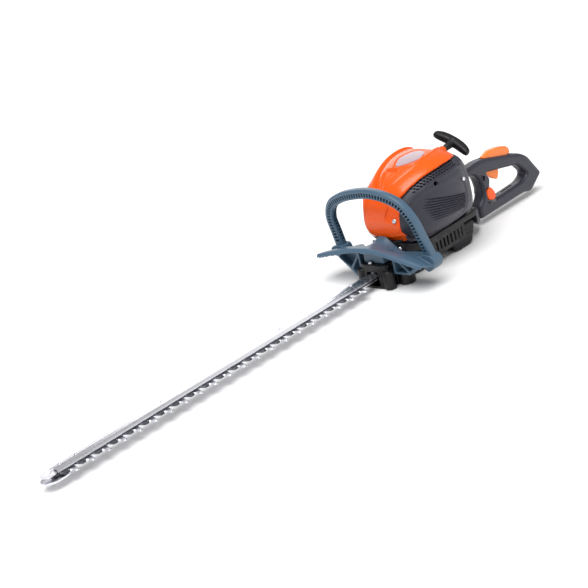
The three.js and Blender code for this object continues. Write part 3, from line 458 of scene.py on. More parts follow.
def finish(slot):
    """The finish of a material slot: base colour with mottling and rubbed edges, grain and uneven gloss."""
    if slot in made_finishes:
        return made_finishes[slot]
    look = FINISH[slot]
    material = bpy.data.materials.new(slot)
    material.use_nodes = True
    tree = material.node_tree
    shader = tree.nodes["Principled BSDF"]
    base = tuple(getattr(colours(), look.colour))

    def node(kind, **values):
        made = tree.nodes.new("ShaderNode" + kind)
        for key, value in values.items():
            if key in made.inputs:
                made.inputs[key].default_value = value
            else:
                setattr(made, key, value)
        return made

    def mix(factor, a, b):
        """A colour between a and b, each a colour or an output."""
        made = node("Mix", data_type="RGBA")
        tree.links.new(factor, made.inputs[0])
        for socket, value in ((made.inputs[6], a), (made.inputs[7], b)):
            if isinstance(value, tuple):
                socket.default_value = (*value, 1)
            else:
                tree.links.new(value, socket)
        return made.outputs[2]

    def noise(vector, scale, detail, roughness):
        made = node("TexNoise", Scale=scale, Detail=detail, Roughness=roughness)
        tree.links.new(vector, made.inputs["Vector"])
        return made.outputs["Fac"]

    def ranged(value, low, high, to_low=0.0, to_high=1.0):
        """A value stretched from one range to another."""
        made = node("MapRange", clamp=True)
        for key, limit in (("From Min", low), ("From Max", high), ("To Min", to_low), ("To Max", to_high)):
            made.inputs[key].default_value = limit
        tree.links.new(value, made.inputs["Value"])
        return made.outputs["Result"]

    place_at = node("TexCoord").outputs["Object"]
    drawn = node("Mapping")
    drawn.inputs["Scale"].default_value = (1 / look.brushed, 1, 1)
    tree.links.new(place_at, drawn.inputs["Vector"])
    grain = noise(drawn.outputs["Vector"], 1 / look.grain, 3.0, 0.6)
    cloud = noise(place_at, 38.0, 4.0, 0.55)
    scuff = noise(place_at, 160.0, 5.0, 0.7)

    low = tuple(c * (1 - look.mottle) for c in base)
    high = tuple(min(1.0, c * (1 + look.mottle) + 0.01 * look.mottle) for c in base)
    body = mix(cloud, low, high)
    if look.wear:
        rubbed = node("Math", operation="MULTIPLY")
        edge = ranged(node("NewGeometry").outputs["Pointiness"], 0.52, 0.62)
        tree.links.new(edge, rubbed.inputs[0])
        tree.links.new(ranged(scuff, 0.42, 0.66, to_high=look.wear), rubbed.inputs[1])
        pale = tuple(c + (RUBBED_GREY - c) * RUBBED_SHARE for c in base)
        body = mix(rubbed.outputs["Value"], body, pale)
    tree.links.new(body, shader.inputs["Base Color"])
    gloss = ranged(scuff, 0.3, 0.7, look.rough * 0.82, min(1.0, look.rough * 1.25))
    tree.links.new(gloss, shader.inputs["Roughness"])

    bump = node("Bump", Strength=look.stand, Distance=GRAIN_HEIGHT)
    tree.links.new(grain, bump.inputs["Height"])
    tree.links.new(bump.outputs["Normal"], shader.inputs["Normal"])
    shader.inputs["Metallic"].default_value = look.metallic
    shader.inputs["Coat Weight"].default_value = look.coat
    shader.inputs["Coat Roughness"].default_value = COAT_ROUGHNESS
    shader.inputs["Specular IOR Level"].default_value = look.specular
    made_finishes[slot] = material
    return material


# ---- covers -------------------------------------------------------------------------------------

# Where the covers' cross-section changes: x, left and right half width, top, bottom and squareness.
STATIONS = np.array([
    (3, 43.7, 39.9, 113.7, 86, 2.7), (11, 54.2, 47.5, 142.7, 78, 2.7), (30, 70.3, 58.9, 173, 66, 2.8),
    (60, 85.5, 70.3, 190.9, 59, 2.9), (100, 95, 77.9, 203, 57.6, 2.8), (140, 93.1, 76, 202.8, 57.6, 2.7),
    (172, 80.8, 66.5, 187.6, 57.6, 3), (192, 60.8, 52.3, 174.6, 57.6, 4.2),
    (202, 47.5, 41.8, 161.5, 57.6, 4.2), (210, 38, 34.2, 147, 60, 4.2),
], float)
NOSE_X, REAR_X = STATIONS[0, 0], STATIONS[-1, 0]
SEAM_REAR_X = 162
NOSE_HALF = 46
SHELL = 2.6

# Lines on the covers: the seam, the crease under the cooling slots, and the inner edge of the raised
# band on the top cover (as y at each x).
seam_height = line([
    (-20, 90), (4, 123), (11, 139), (21, 154), (39, 168), (63, 178), (90, 183.5), (121, 185.5), (150, 184),
    (162, 181.5)])
crease_height = line([
    (-20, 112), (20, 141), (40, 156), (79, 167.5), (120, 170.5), (160, 167), (190, 154), (212, 138)])
band_inner = line([
    (0, -7), (14, -9), (24, -14), (36, -23), (51, -31), (69, -38), (96, -43), (125, -42), (143, -37),
    (165, -33)])
# The outline of the ribbed panel on a side cover, as x and z.
PANEL = rounded([
    (18, 98), (62, 82), (118, 73), (148, 80), (153, 114), (150, 142), (134, 154), (60, 157), (22, 140)], 16)
AWAY = 999  # stands for a distance too far to matter


def outline_distance(points, outline):
    """Signed distance from points to a closed outline, positive inside."""
    p = np.asarray(points, float).reshape(-1, 1, 2)
    a, b = np.array(outline), np.roll(outline, -1, 0)
    d = b - a
    t = np.clip(((p - a) * d).sum(2) / (d * d).sum(1), 0, 1)
    near = np.sqrt(((p - a - t[..., None] * d) ** 2).sum(2)).min(1)
    crossing = (a[:, 1] > p[..., 1]) != (b[:, 1] > p[..., 1])
    rise = np.where(np.abs(d[:, 1]) < 1e-9, 1e-9, d[:, 1])
    left = p[..., 0] < a[:, 0] + (p[..., 1] - a[:, 1]) * d[:, 0] / rise
    inside = (crossing & left).sum(1) % 2 == 1
    return np.where(inside, near, -near).reshape(np.shape(points)[:-1])


def even_turns(sides):
    """Angles that space points evenly round a typical section of the covers."""
    turns = np.linspace(0, 2 * np.pi, 20001)
    power = 2 / STATIONS[0, 5]
    across = np.sign(np.cos(turns)) * np.abs(np.cos(turns)) ** power
    up = 0.86 * np.sign(np.sin(turns)) * np.abs(np.sin(turns)) ** power
    run = np.concatenate([[0], np.cumsum(np.hypot(np.diff(across), np.diff(up)))])
    return np.interp((np.arange(sides) + 0.5) / sides * run[-1], run, turns)


def cover_rings(xs, sides, rounding=4.0):
    """Rings of the covers' outer form, with rounded edges to the nose and the rear face."""
    columns = [line(STATIONS[:, (0, k)]) for k in range(1, 6)]
    right_corner = line([(3, 2.5), (30, 2.0), (60, 1.9), (100, 2.1), (150, 2.7), (210, 4.2)])
    turns = even_turns(sides)
    rings = []
    for x in xs:
        left, right, top, bottom, squareness = (c(x) for c in columns)
        step = max(0.0, rounding - min(x - NOSE_X, REAR_X - x))
        shrink = rounding - math.sqrt(max(0.0, rounding**2 - step**2))
        across, up = np.cos(turns), np.sin(turns)
        width = np.where(across < 0, left, right) - shrink
        middle, half = (top + bottom) / 2, (top - bottom) / 2 - shrink
        power = 2 / np.where((across > 0) & (up > 0), min(right_corner(x), squareness), squareness)
        across = np.sign(across) * np.abs(across) ** power
        up = np.sign(up) * np.abs(up) ** power
        rings.append(np.stack([np.full(sides, x), width * across, middle + half * up], 1))
    return np.array(rings)


def side_relief(x, z):
    """Relief of a side cover: a sunk vent band, a ribbed panel in a rounded border and a stepped foot."""
    crease = crease_height(x)
    band = smooth(-0.8, 0.8, z - crease) * smooth(14, 34, x) * smooth(166, 150, x)
    fold = ridge(z - crease + 1.2, 1.0) * smooth(14, 34, x)
    panel = outline_distance(np.stack([x, z], -1), PANEL)
    rim = ridge(panel + 7, 5) * smooth(100, 60, z + (150 - x) * 0.15)
    foot = smooth(69.5, 68, z) * smooth(30, 60, x)
    ribs = np.zeros_like(x)
    count = sizes().rib_count
    for k in range(count):
        share = k / max(1, count - 1)
        height = 143 - 43 * share - (0.25 - 0.14 * share) * (x - 44)
        start = 34 + 22 * abs(share - 0.35)
        fade = smooth(start, start + 20, x) * smooth(152, 143, x)
        ribs += fade * (ridge(z - height, 1.0) - 0.35 * ridge(z - height - 1.9, 0.9))
    return (
        -2.2 * band + 0.7 * fold - sizes().panel_depth / MM * smooth(-4, 5, panel) + 1.2 * rim
        - sizes().rib_depth / MM * ribs * smooth(2, 7, panel) - 2.0 * foot
    )


def top_relief(x, y, z):
    """Relief of the top cover: a raised band along the seam, a valley, a nose facet, a lip and a rim."""
    left = band_inner(x)
    right = -left * 0.92
    raised = np.maximum(smooth(0.8, -0.8, y - left), smooth(-0.8, 0.8, y - right))
    raised *= smooth(6, 26, x)
    roll = ridge(np.where(y < 0, y - left, right - y) - 2.5, 3.0)
    shoulder = np.where(y < 0, left - y, y - right)
    crest = ridge(shoulder, 0.9) * smooth(10, 24, x)
    terrace = smooth(5.5, 8.5, shoulder) * smooth(20, 50, x)
    valley_half = 1.5 + 13 * smooth(26, 60, x)
    valley = smooth(valley_half + 2.5, valley_half - 1.0, np.abs(y - 1)) * smooth(66, 60, x)
    valley *= smooth(14, 30, x)
    lip = smooth(90.5, 89, z) * smooth(40, 25, x)
    pane = outline_distance(np.stack([x, y], -1), window_outline(0))
    rim = ridge(pane + 4.2, 1.6) - 0.6 * ridge(pane + 1.0, 1.0)
    fall = y + 4 + (z - 100) * 0.42
    on_nose = smooth(146, 138, z) * smooth(92, 96, z) * smooth(26, 18, x) * (y < 6)
    return (
        5.4 * raised - 2.2 * crest + 1.3 * ridge(fall, 0.8) * on_nose - 1.5 * terrace
        - 0.9 * roll * smooth(10, 30, x) - 4.2 * valley - 2.0 * smooth(0, 1.6, -fall) * on_nose
        + 1.4 * lip + 1.1 * rim * (z > 150)
    )


def cover_relief(points):
    """How far each point of the covers stands out from the plain form."""
    x, y, z = points[..., 0], points[..., 1], points[..., 2]
    seam = seam_height(x)
    below = np.where(x > SEAM_REAR_X, AWAY, seam - z)
    beside = np.where(np.abs(y) > NOSE_HALF - 0.1, 1.0, smooth(SEAM_REAR_X - 1, SEAM_REAR_X, x))
    on_side = beside * ((below > 0) | (x > SEAM_REAR_X))

    # both covers roll inwards at the seam
    behind = np.where(x < SEAM_REAR_X, AWAY, x - SEAM_REAR_X + 0.4)
    gap = np.where(beside > 0.5, np.minimum(np.abs(below), behind), AWAY)
    at_nose = (np.abs(y) < NOSE_HALF + 4) & (z < seam) & (x < 40)
    gap = np.minimum(gap, np.where(at_nose, np.abs(np.abs(y) - NOSE_HALF), AWAY))
    gap = np.minimum(gap, np.abs(x - SEAM_REAR_X))
    return np.where(on_side > 0.5, side_relief(x, z), top_relief(x, y, z)) - 0.9 * ridge(gap, 0.9)


def cover_skin(name, columns, sides, relief=None, wall=0.0):
    """The covers' form with a relief on it, or a plain skin that lies a wall's thickness inside."""
    near = 4 * (1 - np.cos(np.linspace(0, math.pi / 2, 8)))
    xs = np.concatenate([np.linspace(NOSE_X, REAR_X, columns), NOSE_X + near, REAR_X - near,
                         np.linspace(NOSE_X, 32, columns // 2)])
    rings = cover_rings(np.unique(np.round(xs, 2)), sides)
    normal = np.cross(np.roll(rings, -1, 1) - np.roll(rings, 1, 1), np.gradient(rings, axis=0))
    normal /= np.linalg.norm(normal, axis=2)[..., None] + 1e-9
    normal *= np.sign(normal[len(rings) // 2, 0, 1])
    if wall:
        rings = rings - normal * wall
        rings[..., 0] = np.clip(rings[..., 0], NOSE_X + wall, REAR_X - wall)
        middle = len(rings) // 2
        steps = np.arange(middle)[:, None] * 1e-3
        rings[:middle, :, 0] = np.maximum.accumulate(rings[:middle, :, 0], 0) + steps
    else:
        fade = smooth(0, 3, rings[..., 0] - NOSE_X) * smooth(0, 2, REAR_X - rings[..., 0])
        rings = rings + normal * (relief(rings) * fade)[..., None]
    return loft(name, list(rings))


def region(name, side, clearance):
    """What belongs to a side cover: under the seam beside the nose, behind it and along the bottom."""
    far, rear, floor, ceiling = 150, 230, 30, 260
    outline = [(-15, floor), (rear, floor), (rear, ceiling), (SEAM_REAR_X + clearance, ceiling)]
    for x in np.linspace(SEAM_REAR_X, -15, 90):
        outline.append((x + clearance * (x == SEAM_REAR_X), seam_height(x) - clearance))

    def room(name, front, near, top):
        y0, y1 = span(side, near, far)
        return block(name, (front + clearance, y0, floor), (rear, y1, top))

    return carve(
        prism(name, outline, "xz", *span(side, NOSE_HALF + clearance, far)),
        room("behind", SEAM_REAR_X, clearance / 2, ceiling),
        room("low", 24, clearance / 2, 68 - clearance),
        room("skirt", 16, 28 + clearance, 85 - clearance),
        how="UNION")


def window_outline(grow):
    """The window's outline from above, grown away from its middle."""
    corners = np.array([(68, -4), (81, -27), (98, -40), (123, -34), (132, -19), (121, -5), (90, 6)], float)
    away = corners - corners.mean(0)
    return rounded(corners + grow * away / np.linalg.norm(away, axis=1)[:, None], 9, 8)


PULL_AXIS = np.array(JOINTS["starter_pull"]["axis"])
PULL_AT = np.array([182, -16, 181.0])


def vents(side):
    """Rows of leaning six-sided slots under the seam."""
    made = []
    pitch = sizes().vent_pitch / MM
    for row in range(sizes().vent_rows):
        for k in range(20):
            x = 34 + (k + 0.5 * (row % 2)) * pitch
            room = seam_height(x) - crease_height(x) - 3.4
            step = room / sizes().vent_rows
            if step < 3.0 or x > 148:
                continue
            z = crease_height(x) + 2.0 + (row + 0.5) * step
            tall, wide = min(step * 0.42, 2.1), 2.7
            half = np.array([(-wide, -0.32), (-wide * 0.3, -tall), (wide * 0.8, -tall * 0.8)])
            made.append(prism("vent", np.vstack([half, -half]) + (x, z), "xz", *span(side, 36, 120)))
    return gathered("vents", made)


def cover_shell(name):
    """The whole hollow form of the covers, open underneath."""
    fine = 1.0
    outer = cover_skin(name, int(250 * fine), int(640 * fine), cover_relief)
    inner = cover_skin("inner", 40, 72, wall=SHELL + 2)
    floor_gap = block("gap", (12, -36, 40), (205, 36, 79))
    return carve(outer, inner, floor_gap)


def build_covers():
    shell = cover_shell("shell")
    choke, primer = pivot("choke_turn"), np.mean(node_box("primer_bulb"), 0)
    room = lens("room", PULL_AT, PULL_AXIS, 12.6, 30)
    for side, node in ((-1, "left_side_cover"), (1, "right_side_cover")):
        cover = copy_of(shell, "side_cover_left_skin" if side < 0 else "side_cover_right_skin")
        carve(cover, region("region", side, 0.5), how="INTERSECT")
        tools = [copy_of(room, "collar_room"), vents(side)]
        if side < 0:
            tools.append(lens("plug_hole", (79, -85, 162.5), Y, 4.5, 40))
            tools.append(lens("exhaust_hole", (82.3, -58, 62), Z, 9, 20))
        else:
            tools.append(lens("choke_hole", (choke[0], 80, choke[2]), Y, 5.6, 40))
            tools.append(lens("primer_hole", (primer[0], 80, primer[2]), Y, 10.4, 40))
        carve(cover, *tools)
        place(keep_largest(cover), node, angle=42)
    bpy.data.objects.remove(room)

    top = carve(copy_of(shell, "top_cover_skin"), region("left", -1, 0), region("right", 1, 0),
                prism("opening", window_outline(0.3), "xy", 150, 260))
    place(keep_largest(top), "top_cover", angle=42)
    bpy.data.objects.remove(shell)

    plain = cover_skin("top_window_pane", 160, 200, lambda p: np.full(p.shape[:2], 0.5))
    carve(plain, prism("pane", window_outline(-0.1), "xy", 180, 260), how="INTERSECT")
    under = cover_skin("under", 60, 72, wall=SHELL)
    place(carve(plain, under), "top_window")


# ---- front handle and guard ---------------------------------------------------------------------

# The front handle's centre line, from its right foot over the top to its left foot.
LOOP = [
    (0, 109, 50), (-3, 113, 90), (-8, 112, 121), (-12, 97, 148), (-16, 68, 164), (-19, 33, 174),
    (-20, -10, 179), (-19, -50, 173), (-16, -80, 158), (-12, -99, 129), (-7, -106, 96), (-2, -112, 64),
    (0, -113, 48), (0, -108, 36)]
LOOP_HALF = (8, 9.5)


def loop_frames(count):
    """Points along the front handle with their directions along, forward and outward."""
    path = through(LOOP, count)
    along = np.gradient(path, axis=0)
    along /= np.linalg.norm(along, axis=1)[:, None]
    forward = np.array([1.0, 0, 0]) - along * along[:, :1]
    forward /= np.linalg.norm(forward, axis=1)[:, None]
    return path, along, forward, np.cross(along, forward)


def build_front_handle():
    path, _, forward, outward = loop_frames(260)
    profile = rounded([(1, 1), (-1, 1), (-1, -1), (1, -1)], 0.62, 8)
    rings = []
    for k, (p, f, o) in enumerate(zip(path, forward, outward)):
        end = min(k, len(path) - 1 - k)
        shrink = 1 - 0.12 * (1 - min(1, end / 4)) ** 2
        rings.append([p + f * a * LOOP_HALF[0] * shrink + o * b * LOOP_HALF[1] * shrink for a, b in profile])
    loop = loft("front_loop", rings)

    run = np.linalg.norm(np.diff(through(LOOP, 400), axis=0), axis=1).sum()
    count = int(run / (sizes().pocket_pitch / MM))
    path, along, forward, outward = loop_frames(count * 4 + 1)
    depth = sizes().pocket_depth / MM
    inward = np.sign((outward @ np.array([0, 0, 1.0]))[len(outward) // 2])
    cutters = []
    for k in range(3, count - 5):
        i = 4 * k + 2
        p, a, f, o = path[i], along[i], forward[i], outward[i] * -inward
        rows = ((-f, o, 4.0, 1.4, LOOP_HALF[0]), (o, f, 3.4, 1.0, LOOP_HALF[1]))
        for face, across, half, shift, reach in rows:
            centre = p + face * (reach - depth) + across * shift
            ring = [centre + a * 2.1 * u + across * half * v for u, v in rectangle(-1, -1, 1, 1)]
            cutters.append(loft("pocket", [ring, [q + face * (depth + 3) for q in ring]]))
    carve(loop, gathered("pockets", cutters))
    place(loop, "front_handle", angle=35)


GUARD_EDGE = (136, -126)
GUARD_THICKNESS = 3.5


def guard_rings(count):
    """Sections of the hand guard, each a thick line that falls behind and climbs towards the engine."""
    rings = []
    for y in np.linspace(*GUARD_EDGE, count):
        edge = max(0.0, 1 - abs((y - 5) / 131.5) ** 4)
        beside = min(1.0, max(0.0, (abs(y) - 50) / 25))
        front_x = -46 - 5 * edge
        rear_x = front_x + 6 + (46 + 20 * beside) * edge**0.35
        height = 80 - 21 * (abs(y) / 120) ** 1.6 + 0.02 * y
        ramp = max(0.0, 86 - height + 15 - 0.85 * max(0.0, abs(y) - 9))
        climb = [(0.7, -11 + 0.4 * ramp), (1, -15 + min(ramp, 21))]
        heights = [(0, -6), (0.06, -1), (0.16, 0), (0.4, -3), *climb]
        drop = min(1.0, (rear_x - front_x) / 48)
        upper = [(front_x + u * (rear_x - front_x), y, height + h * drop) for u, h in through(heights, 26)]
        rings.append(upper + [(x, y, z - GUARD_THICKNESS) for x, y, z in reversed(upper)])
    return rings


STRUTS = ([(39, 16), (56, 14), (70, 28), (94, 48), (94, 58), (39, 68)],
          [(-42, 27), (-42, 68), (-98, 58), (-102, 48), (-98, 40), (-80, 28)])
SOCKETS = ([(96, 46), (96, 62), (106, 64), (124, 61), (130, 54), (126, 44), (112, 40)],
           [(-95, 38), (-95, 60), (-106, 62), (-124, 59), (-130, 48), (-124, 36), (-110, 28)])
HOLLOWS = ([(43, 20), (54, 18), (63, 28), (43, 53)], [(67, 31.5), (90, 50), (88, 57), (47, 61), (47, 55)],
           [(-46, 31), (-76, 32), (-47, 58)], [(-81, 35), (-96, 46), (-92, 55), (-53, 61)])


def build_hand_guard():
    guard = loft("hand_guard_skin", guard_rings(110))
    additions = [prism("strut", face, "yz", -31, -10) for face in STRUTS]
    additions.append(block("pedestal", (-34, -24, 46.3), (-14, 24, 73)))
    additions += [prism("socket", rounded(face, 5), "yz", -13, 12) for face in SOCKETS]
    carve(guard, *additions, how="UNION")
    tools = [prism("hollow", rounded(face, 2.5), "yz", -60, -17) for face in HOLLOWS]
    x, y, _ = np.mean(node_box("bar_screw"), 0)
    tools.append(lens("screw_room", (x, y, 46), Z, 7, 4.6))
    carve(guard, *tools)
    moulded(guard, 1.0, 3)
    place(keep_largest(guard), "hand_guard", angle=60)


# ---- rear handle and its controls ---------------------------------------------------------------

# Outlines of the rear handle, its opening and its small hollow, as x and z.
HANDLE_OUTER = [
    (224.3, 117), (238, 118), (255, 121), (282, 123), (306, 120), (403, 93), (423, 80), (445, 47), (454, 34),
    (414, 8), (396, 14), (299, 13), (262, 12), (256.8, 16), (256.8, 38), (272, 48), (279, 66), (275, 88),
    (262, 103), (242, 106), (224.3, 101)]
HANDLE_OPENING = [(296, 94), (390, 74), (413, 47), (393, 38), (305, 35), (297, 66), (304, 80)]
HANDLE_HOLLOW = [(270, 99.5), (289, 90.5), (285, 80), (281, 84)]
HANDLE_HALF = 14.5


def build_rear_handle():
    body = prism("handle_body", rounded(HANDLE_OUTER, 9, 5), "xz", -HANDLE_HALF, HANDLE_HALF)
    hole = prism("opening", rounded(HANDLE_OPENING, 9, 5), "xz", -40, 40)
    flatten(carve(body, hole))
    soften(body, sizes().grip_edge / MM, 8, 50, clamp=False)
    moulded(body, 0.8, 2)
    tools = [
        prism("trigger_slot", [(296, 106), (348, 104), (348, 60), (296, 60)], "xz", -7, 7),
        prism("lock_slot", [(299, 104), (299, 140), (387, 140), (387, 80), (309, 100)], "xz", -7, 7),
        prism("switch_slot", [(283, 34), (283, 66), (315, 66), (315, 34)], "xz", -30, 7),
        prism("lower_slot", rounded([(338, 20), (338, 60), (374, 60), (374, 20)], 2), "xz", -2.2, 2.2),
    ]
    for side in (-1, 1):
        tools.append(prism("hollow", rounded(HANDLE_HOLLOW, 2.5), "xz", *span(side, 11, 30)))
    carve(body, *tools)
    for side, node in ((-1, "rear_handle_left"), (1, "rear_handle_right")):
        half = copy_of(body, "handle_half_left" if side < 0 else "handle_half_right")
        y0, y1 = span(side, 0.15, 40)
        carve(half, block("side", (200, y0, -20), (480, y1, 160)), how="INTERSECT")
        place(keep_largest(half), node, angle=34)
    bpy.data.objects.remove(body)


def lever(name, node, outline, radius, rounding, joint=None, ridges=()):
    """A flat moulded lever with rounded edges, bored for its joint's pin where it has one."""
    low, high = node_box(node)
    piece = prism(name, rounded(outline, radius, 6), "xz", low[1], high[1])
    soften(piece, rounding, 4, 50)
    if len(ridges):
        bars = [turned("ridge", [(0.9, -20), (0.9, 20)], (x, 0, z), Y, 16) for x, z in ridges]
        carve(piece, gathered("ridges", bars))
    if joint:
        carve(piece, lens("pin", pivot(joint), Y, 2.4, 20))
    return piece


def build_controls():
    trigger = [(298, 108), (307, 109), (318, 101), (337, 94), (340, 80), (332, 66), (318, 74), (299, 92)]
    place(lever("trigger_lever", "throttle_trigger", trigger, 5, 2.4, "trigger_squeeze"), "throttle_trigger")
    lock = [(312, 109), (304, 121), (326, 128), (350, 125.4), (374, 119), (381, 112), (382, 102), (370, 101),
            (332, 107)]
    ridges = through([(322, 127.3), (336, 127.4), (350, 125.3), (366, 121.6)], 9)
    place(lever("lock_lever", "throttle_lock", lock, 3.5, 1.6, "lock_press", ridges), "throttle_lock")
    rocker = [(286, 43), (285, 57), (292, 64.5), (301, 63), (309, 50), (308, 38), (298, 36.5)]
    switch = lever("switch_rocker", "stop_switch", rocker, 5, 2.4)
    carve(switch, turned("scoop", [(0.1, -20), (9, -18), (9, 18), (0.1, 20)], (316.5, 0, 54), Y, 32))
    place(switch, "stop_switch")


# ---- starter ------------------------------------------------------------------------------------


def build_starter():
    section = [(5, -10), (12, -10), (12, -2), (11.2, -0.8), (9.4, 0), (8.8, 1), (8.6, 7), (8, 8.6), (7.2, 9),
               (6.2, 8.8), (5.4, 8), (5, 6)]
    collar = turned("starter_collar_ring", section, PULL_AT, PULL_AXIS, 56)
    bore = turned("bore", [(5, -12), (5, 12)], PULL_AT, PULL_AXIS, 56)
    place(carve(collar, bore), "starter_collar")

    lean, half_length, depth, half_width, power = 0.46, 42, 9.8, 8.8, 2.6
    across = np.array([0, math.cos(lean), math.sin(lean)])
    up = np.cross(PULL_AXIS, across)
    hub = PULL_AT + PULL_AXIS * 40
    rings = []
    for t in np.linspace(-1, 1, 91):
        bow = -7 * t * t
        full = math.sqrt(max(0.0, 1 - 0.75 * t**4))
        if abs(t) > 0.93:
            full *= math.sqrt(max(0.02, 1 - ((abs(t) - 0.93) / 0.07) ** 2 * 0.85))
        wave = (0.5 - 0.5 * math.cos(t * half_length * 2 * math.pi / 5.2)) * (abs(t) < 0.9)
        ring = []
        for a in np.linspace(0, 2 * math.pi, 36, endpoint=False):
            out, side = math.cos(a), math.sin(a)
            square = (abs(out) ** power + abs(side) ** power) ** (-1 / power)
            along = bow + (depth * full - 0.9 * max(0.0, out) ** 3 * wave) * out * square
            offset = PULL_AXIS * along + up * half_width * full * side * square
            ring.append(hub + across * half_length * t + offset)
        rings.append(ring)
    grip = loft("pull_grip", rings)
    stem = [(4.6, 0), (4.6, 12), (5.4, 13.5), (6.3, 15), (7, 24), (8.6, 33), (10.5, 37), (4, 38)]
    carve(grip, turned("stem", stem, PULL_AT, PULL_AXIS, 40), how="UNION")
    place(grip, "starter_handle", angle=50)

    groove = np.array([51, -19.8, 138.5])
    outside = np.array([69, -19.4, 138.5])
    knot = PULL_AT - PULL_AXIS * 0.6
    inner = through([groove, outside, (outside + knot) / 2, PULL_AT - PULL_AXIS * 10], 90)
    outer = [PULL_AT - PULL_AXIS * s for s in np.linspace(9.8, 0.6, 60)]
    rope = tube("starter_cord_run", np.vstack([inner, outer]), 1.5, 14)
    finish_rope(rope)


def finish_rope(rope):
    shade(rope)
    rope.data.materials.append(finish("starter_cord"))
    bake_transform(rope)
    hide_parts("starter_rope")


# ---- base, tank and rear mounts -----------------------------------------------------------------


def bellows(radius, low, high):
    """The section of a rubber mount with three folds."""
    folds, shallow = 3, 0.9
    pairs = [(radius - 1.6, low)]
    for s in np.linspace(low + 0.1, high - 0.1, 40):
        turn = (s - low) / (high - low) * 2 * math.pi * folds + math.pi
        pairs.append((radius - shallow + shallow * math.cos(turn), s))
    return pairs + [(radius - 1.6, high)]


def build_tank():
    cap = pivot("cap_turn")
    side = [(128, 8), (136, 0), (180, 0), (196, 30), (196, 44), (128, 44)]
    tank = prism("tank_shell", rounded(side, 9, 6), "xz", -49, 49)
    soften(tank, 5, 5, 40)
    neck = turned("neck", [(13, 46), (13, 57), (10.5, 57), (10.5, 46)], (cap[0], 0, cap[2]), Y, 48)
    band = prism("band", rounded(rectangle(126, 22, 198, 24.4), 0.6), "xz", -60, 60)
    trim = copy_of(tank, "trim")
    inset = 0.015
    trim.scale = (1 - inset, 1 - inset, 1)
    trim.location = (162 * MM * inset, 0, 0)
    carve(band, trim)
    carve(tank, neck, how="UNION")
    place(carve(tank, band), "fuel_tank", angle=35)

    low, high = node_box("fuel_cap")
    foot, end = low[1], high[1] - 4

    def knurl(angle, along):
        return 1 + (0.035 * max(0.0, math.cos(angle * 24)) if 55 < along < end - 1 else 0)

    section = [(13.4, foot), (16.4, foot), (16.6, foot + 0.6), (16.6, end - 1.6), (15.6, end), (0.2, end),
               (0.2, end - 3.4), (13.4, end - 3.8)]
    lid = turned("cap_lid", section, (cap[0], 0, cap[2]), Y, 144, knurl)
    bar = prism("bar", rounded(rectangle(-13, -2.5, 13, 2.5), 2), "xz", end - 0.5, high[1])
    bar.location = (cap[0] * MM, 0, cap[2] * MM)
    soften(bar, 0.8, 3, 40)
    place(carve(lid, bar, how="UNION"), "fuel_cap", angle=35)


def build_base():
    base = node_copy("engine_base", "base_tray")
    soften(base, 0.7, 2, 40)
    place(base, "engine_base", angle=35)
    build_tank()

    rings = []
    for x, half, z0, z1 in ((208.3, 47, 30, 55), (226, 34, 18, 52), (249, 16, 13, 42)):
        rings.append([(x, y, z) for y, z in rounded(rectangle(-half, z0, half, z1), 5, 5)])
    bracket = loft("rear_bracket", rings)
    soften(bracket, 1.2, 3, 35)
    place(bracket, "handle_bracket", angle=30)

    for name, radius, z in (("upper_mount", 9, 109), ("lower_mount", 10, 28)):
        node = "handle_mount_" + name.split("_")[0]
        low, high = node_box(node)
        place(turned(name, bellows(radius, low[0], high[0]), (0, 0, z), X, 48), node, angle=60)
    route = through([(234, -9, 101.5), (240, -10, 82), (241, -10, 64), (237, -10, 49.5)], 150)
    ripple = 2.85 + 0.35 * np.cos(np.linspace(0, 24 * 2 * math.pi, 150))
    place(tube("throttle_sleeve", route, ripple, 18), "throttle_cable", angle=60)


def build_fuel_controls():
    low, high = node_box("choke_lever")
    foot, top = low[1], high[1]
    x, _, z = pivot("choke_turn")
    outline = [(x - 4.5, z - 4), (x + 4.5, z - 4), (x + 3.4, z + 24), (x - 3.4, z + 24)]
    arm = prism("choke_arm", rounded(outline, 4, 6), "xz", top - 4, top)
    soften(arm, 1, 3, 40)
    section = [(5, foot), (5, top - 4.2), (8.6, top - 4.2), (9, top - 3.6), (9, top - 1.2), (8, top - 0.2),
               (0.2, top - 0.2)]
    boss = turned("boss", section, (x, 0, z), Y, 48)
    place(carve(boss, arm, how="UNION"), "choke_lever", angle=35)

    low, high = node_box("primer_bulb")
    foot, top = low[1], high[1]
    x, _, z = (low + high) / 2
    section = [(10, foot), (10, top - 14.5), (9.3, top - 13.5), (9.3, top - 12.5), (10, top - 11.6)]
    section += [(10 * math.cos(a), top - 11 + 11 * math.sin(a)) for a in np.linspace(0, 1.55, 16)]
    place(turned("primer_dome", section, (x, 0, z), Y, 56), "primer_bulb", angle=60)


# ---- gear case ----------------------------------------------------------------------------------


def screw(name, at, axis, radius, height, node=None, long=2.0):
    """A pan head screw with a six-sided socket."""
    section = [(0.42, -long), (0.42, 0), (0.96, 0), (1, height * 0.2), (1, height * 0.55),
               (0.85, height * 0.85), (0.55, height)]
    head = turned(name, [(radius * share, along) for share, along in section], at, axis, 36)
    socket = turned("socket", [(radius * 0.46, height * 0.3), (radius * 0.46, height * 2)], at, axis, 6)
    carve(head, socket)
    if node:
        return place(head, node, angle=32)
    return place(head, slot="blade_steel", body="frame", angle=32)


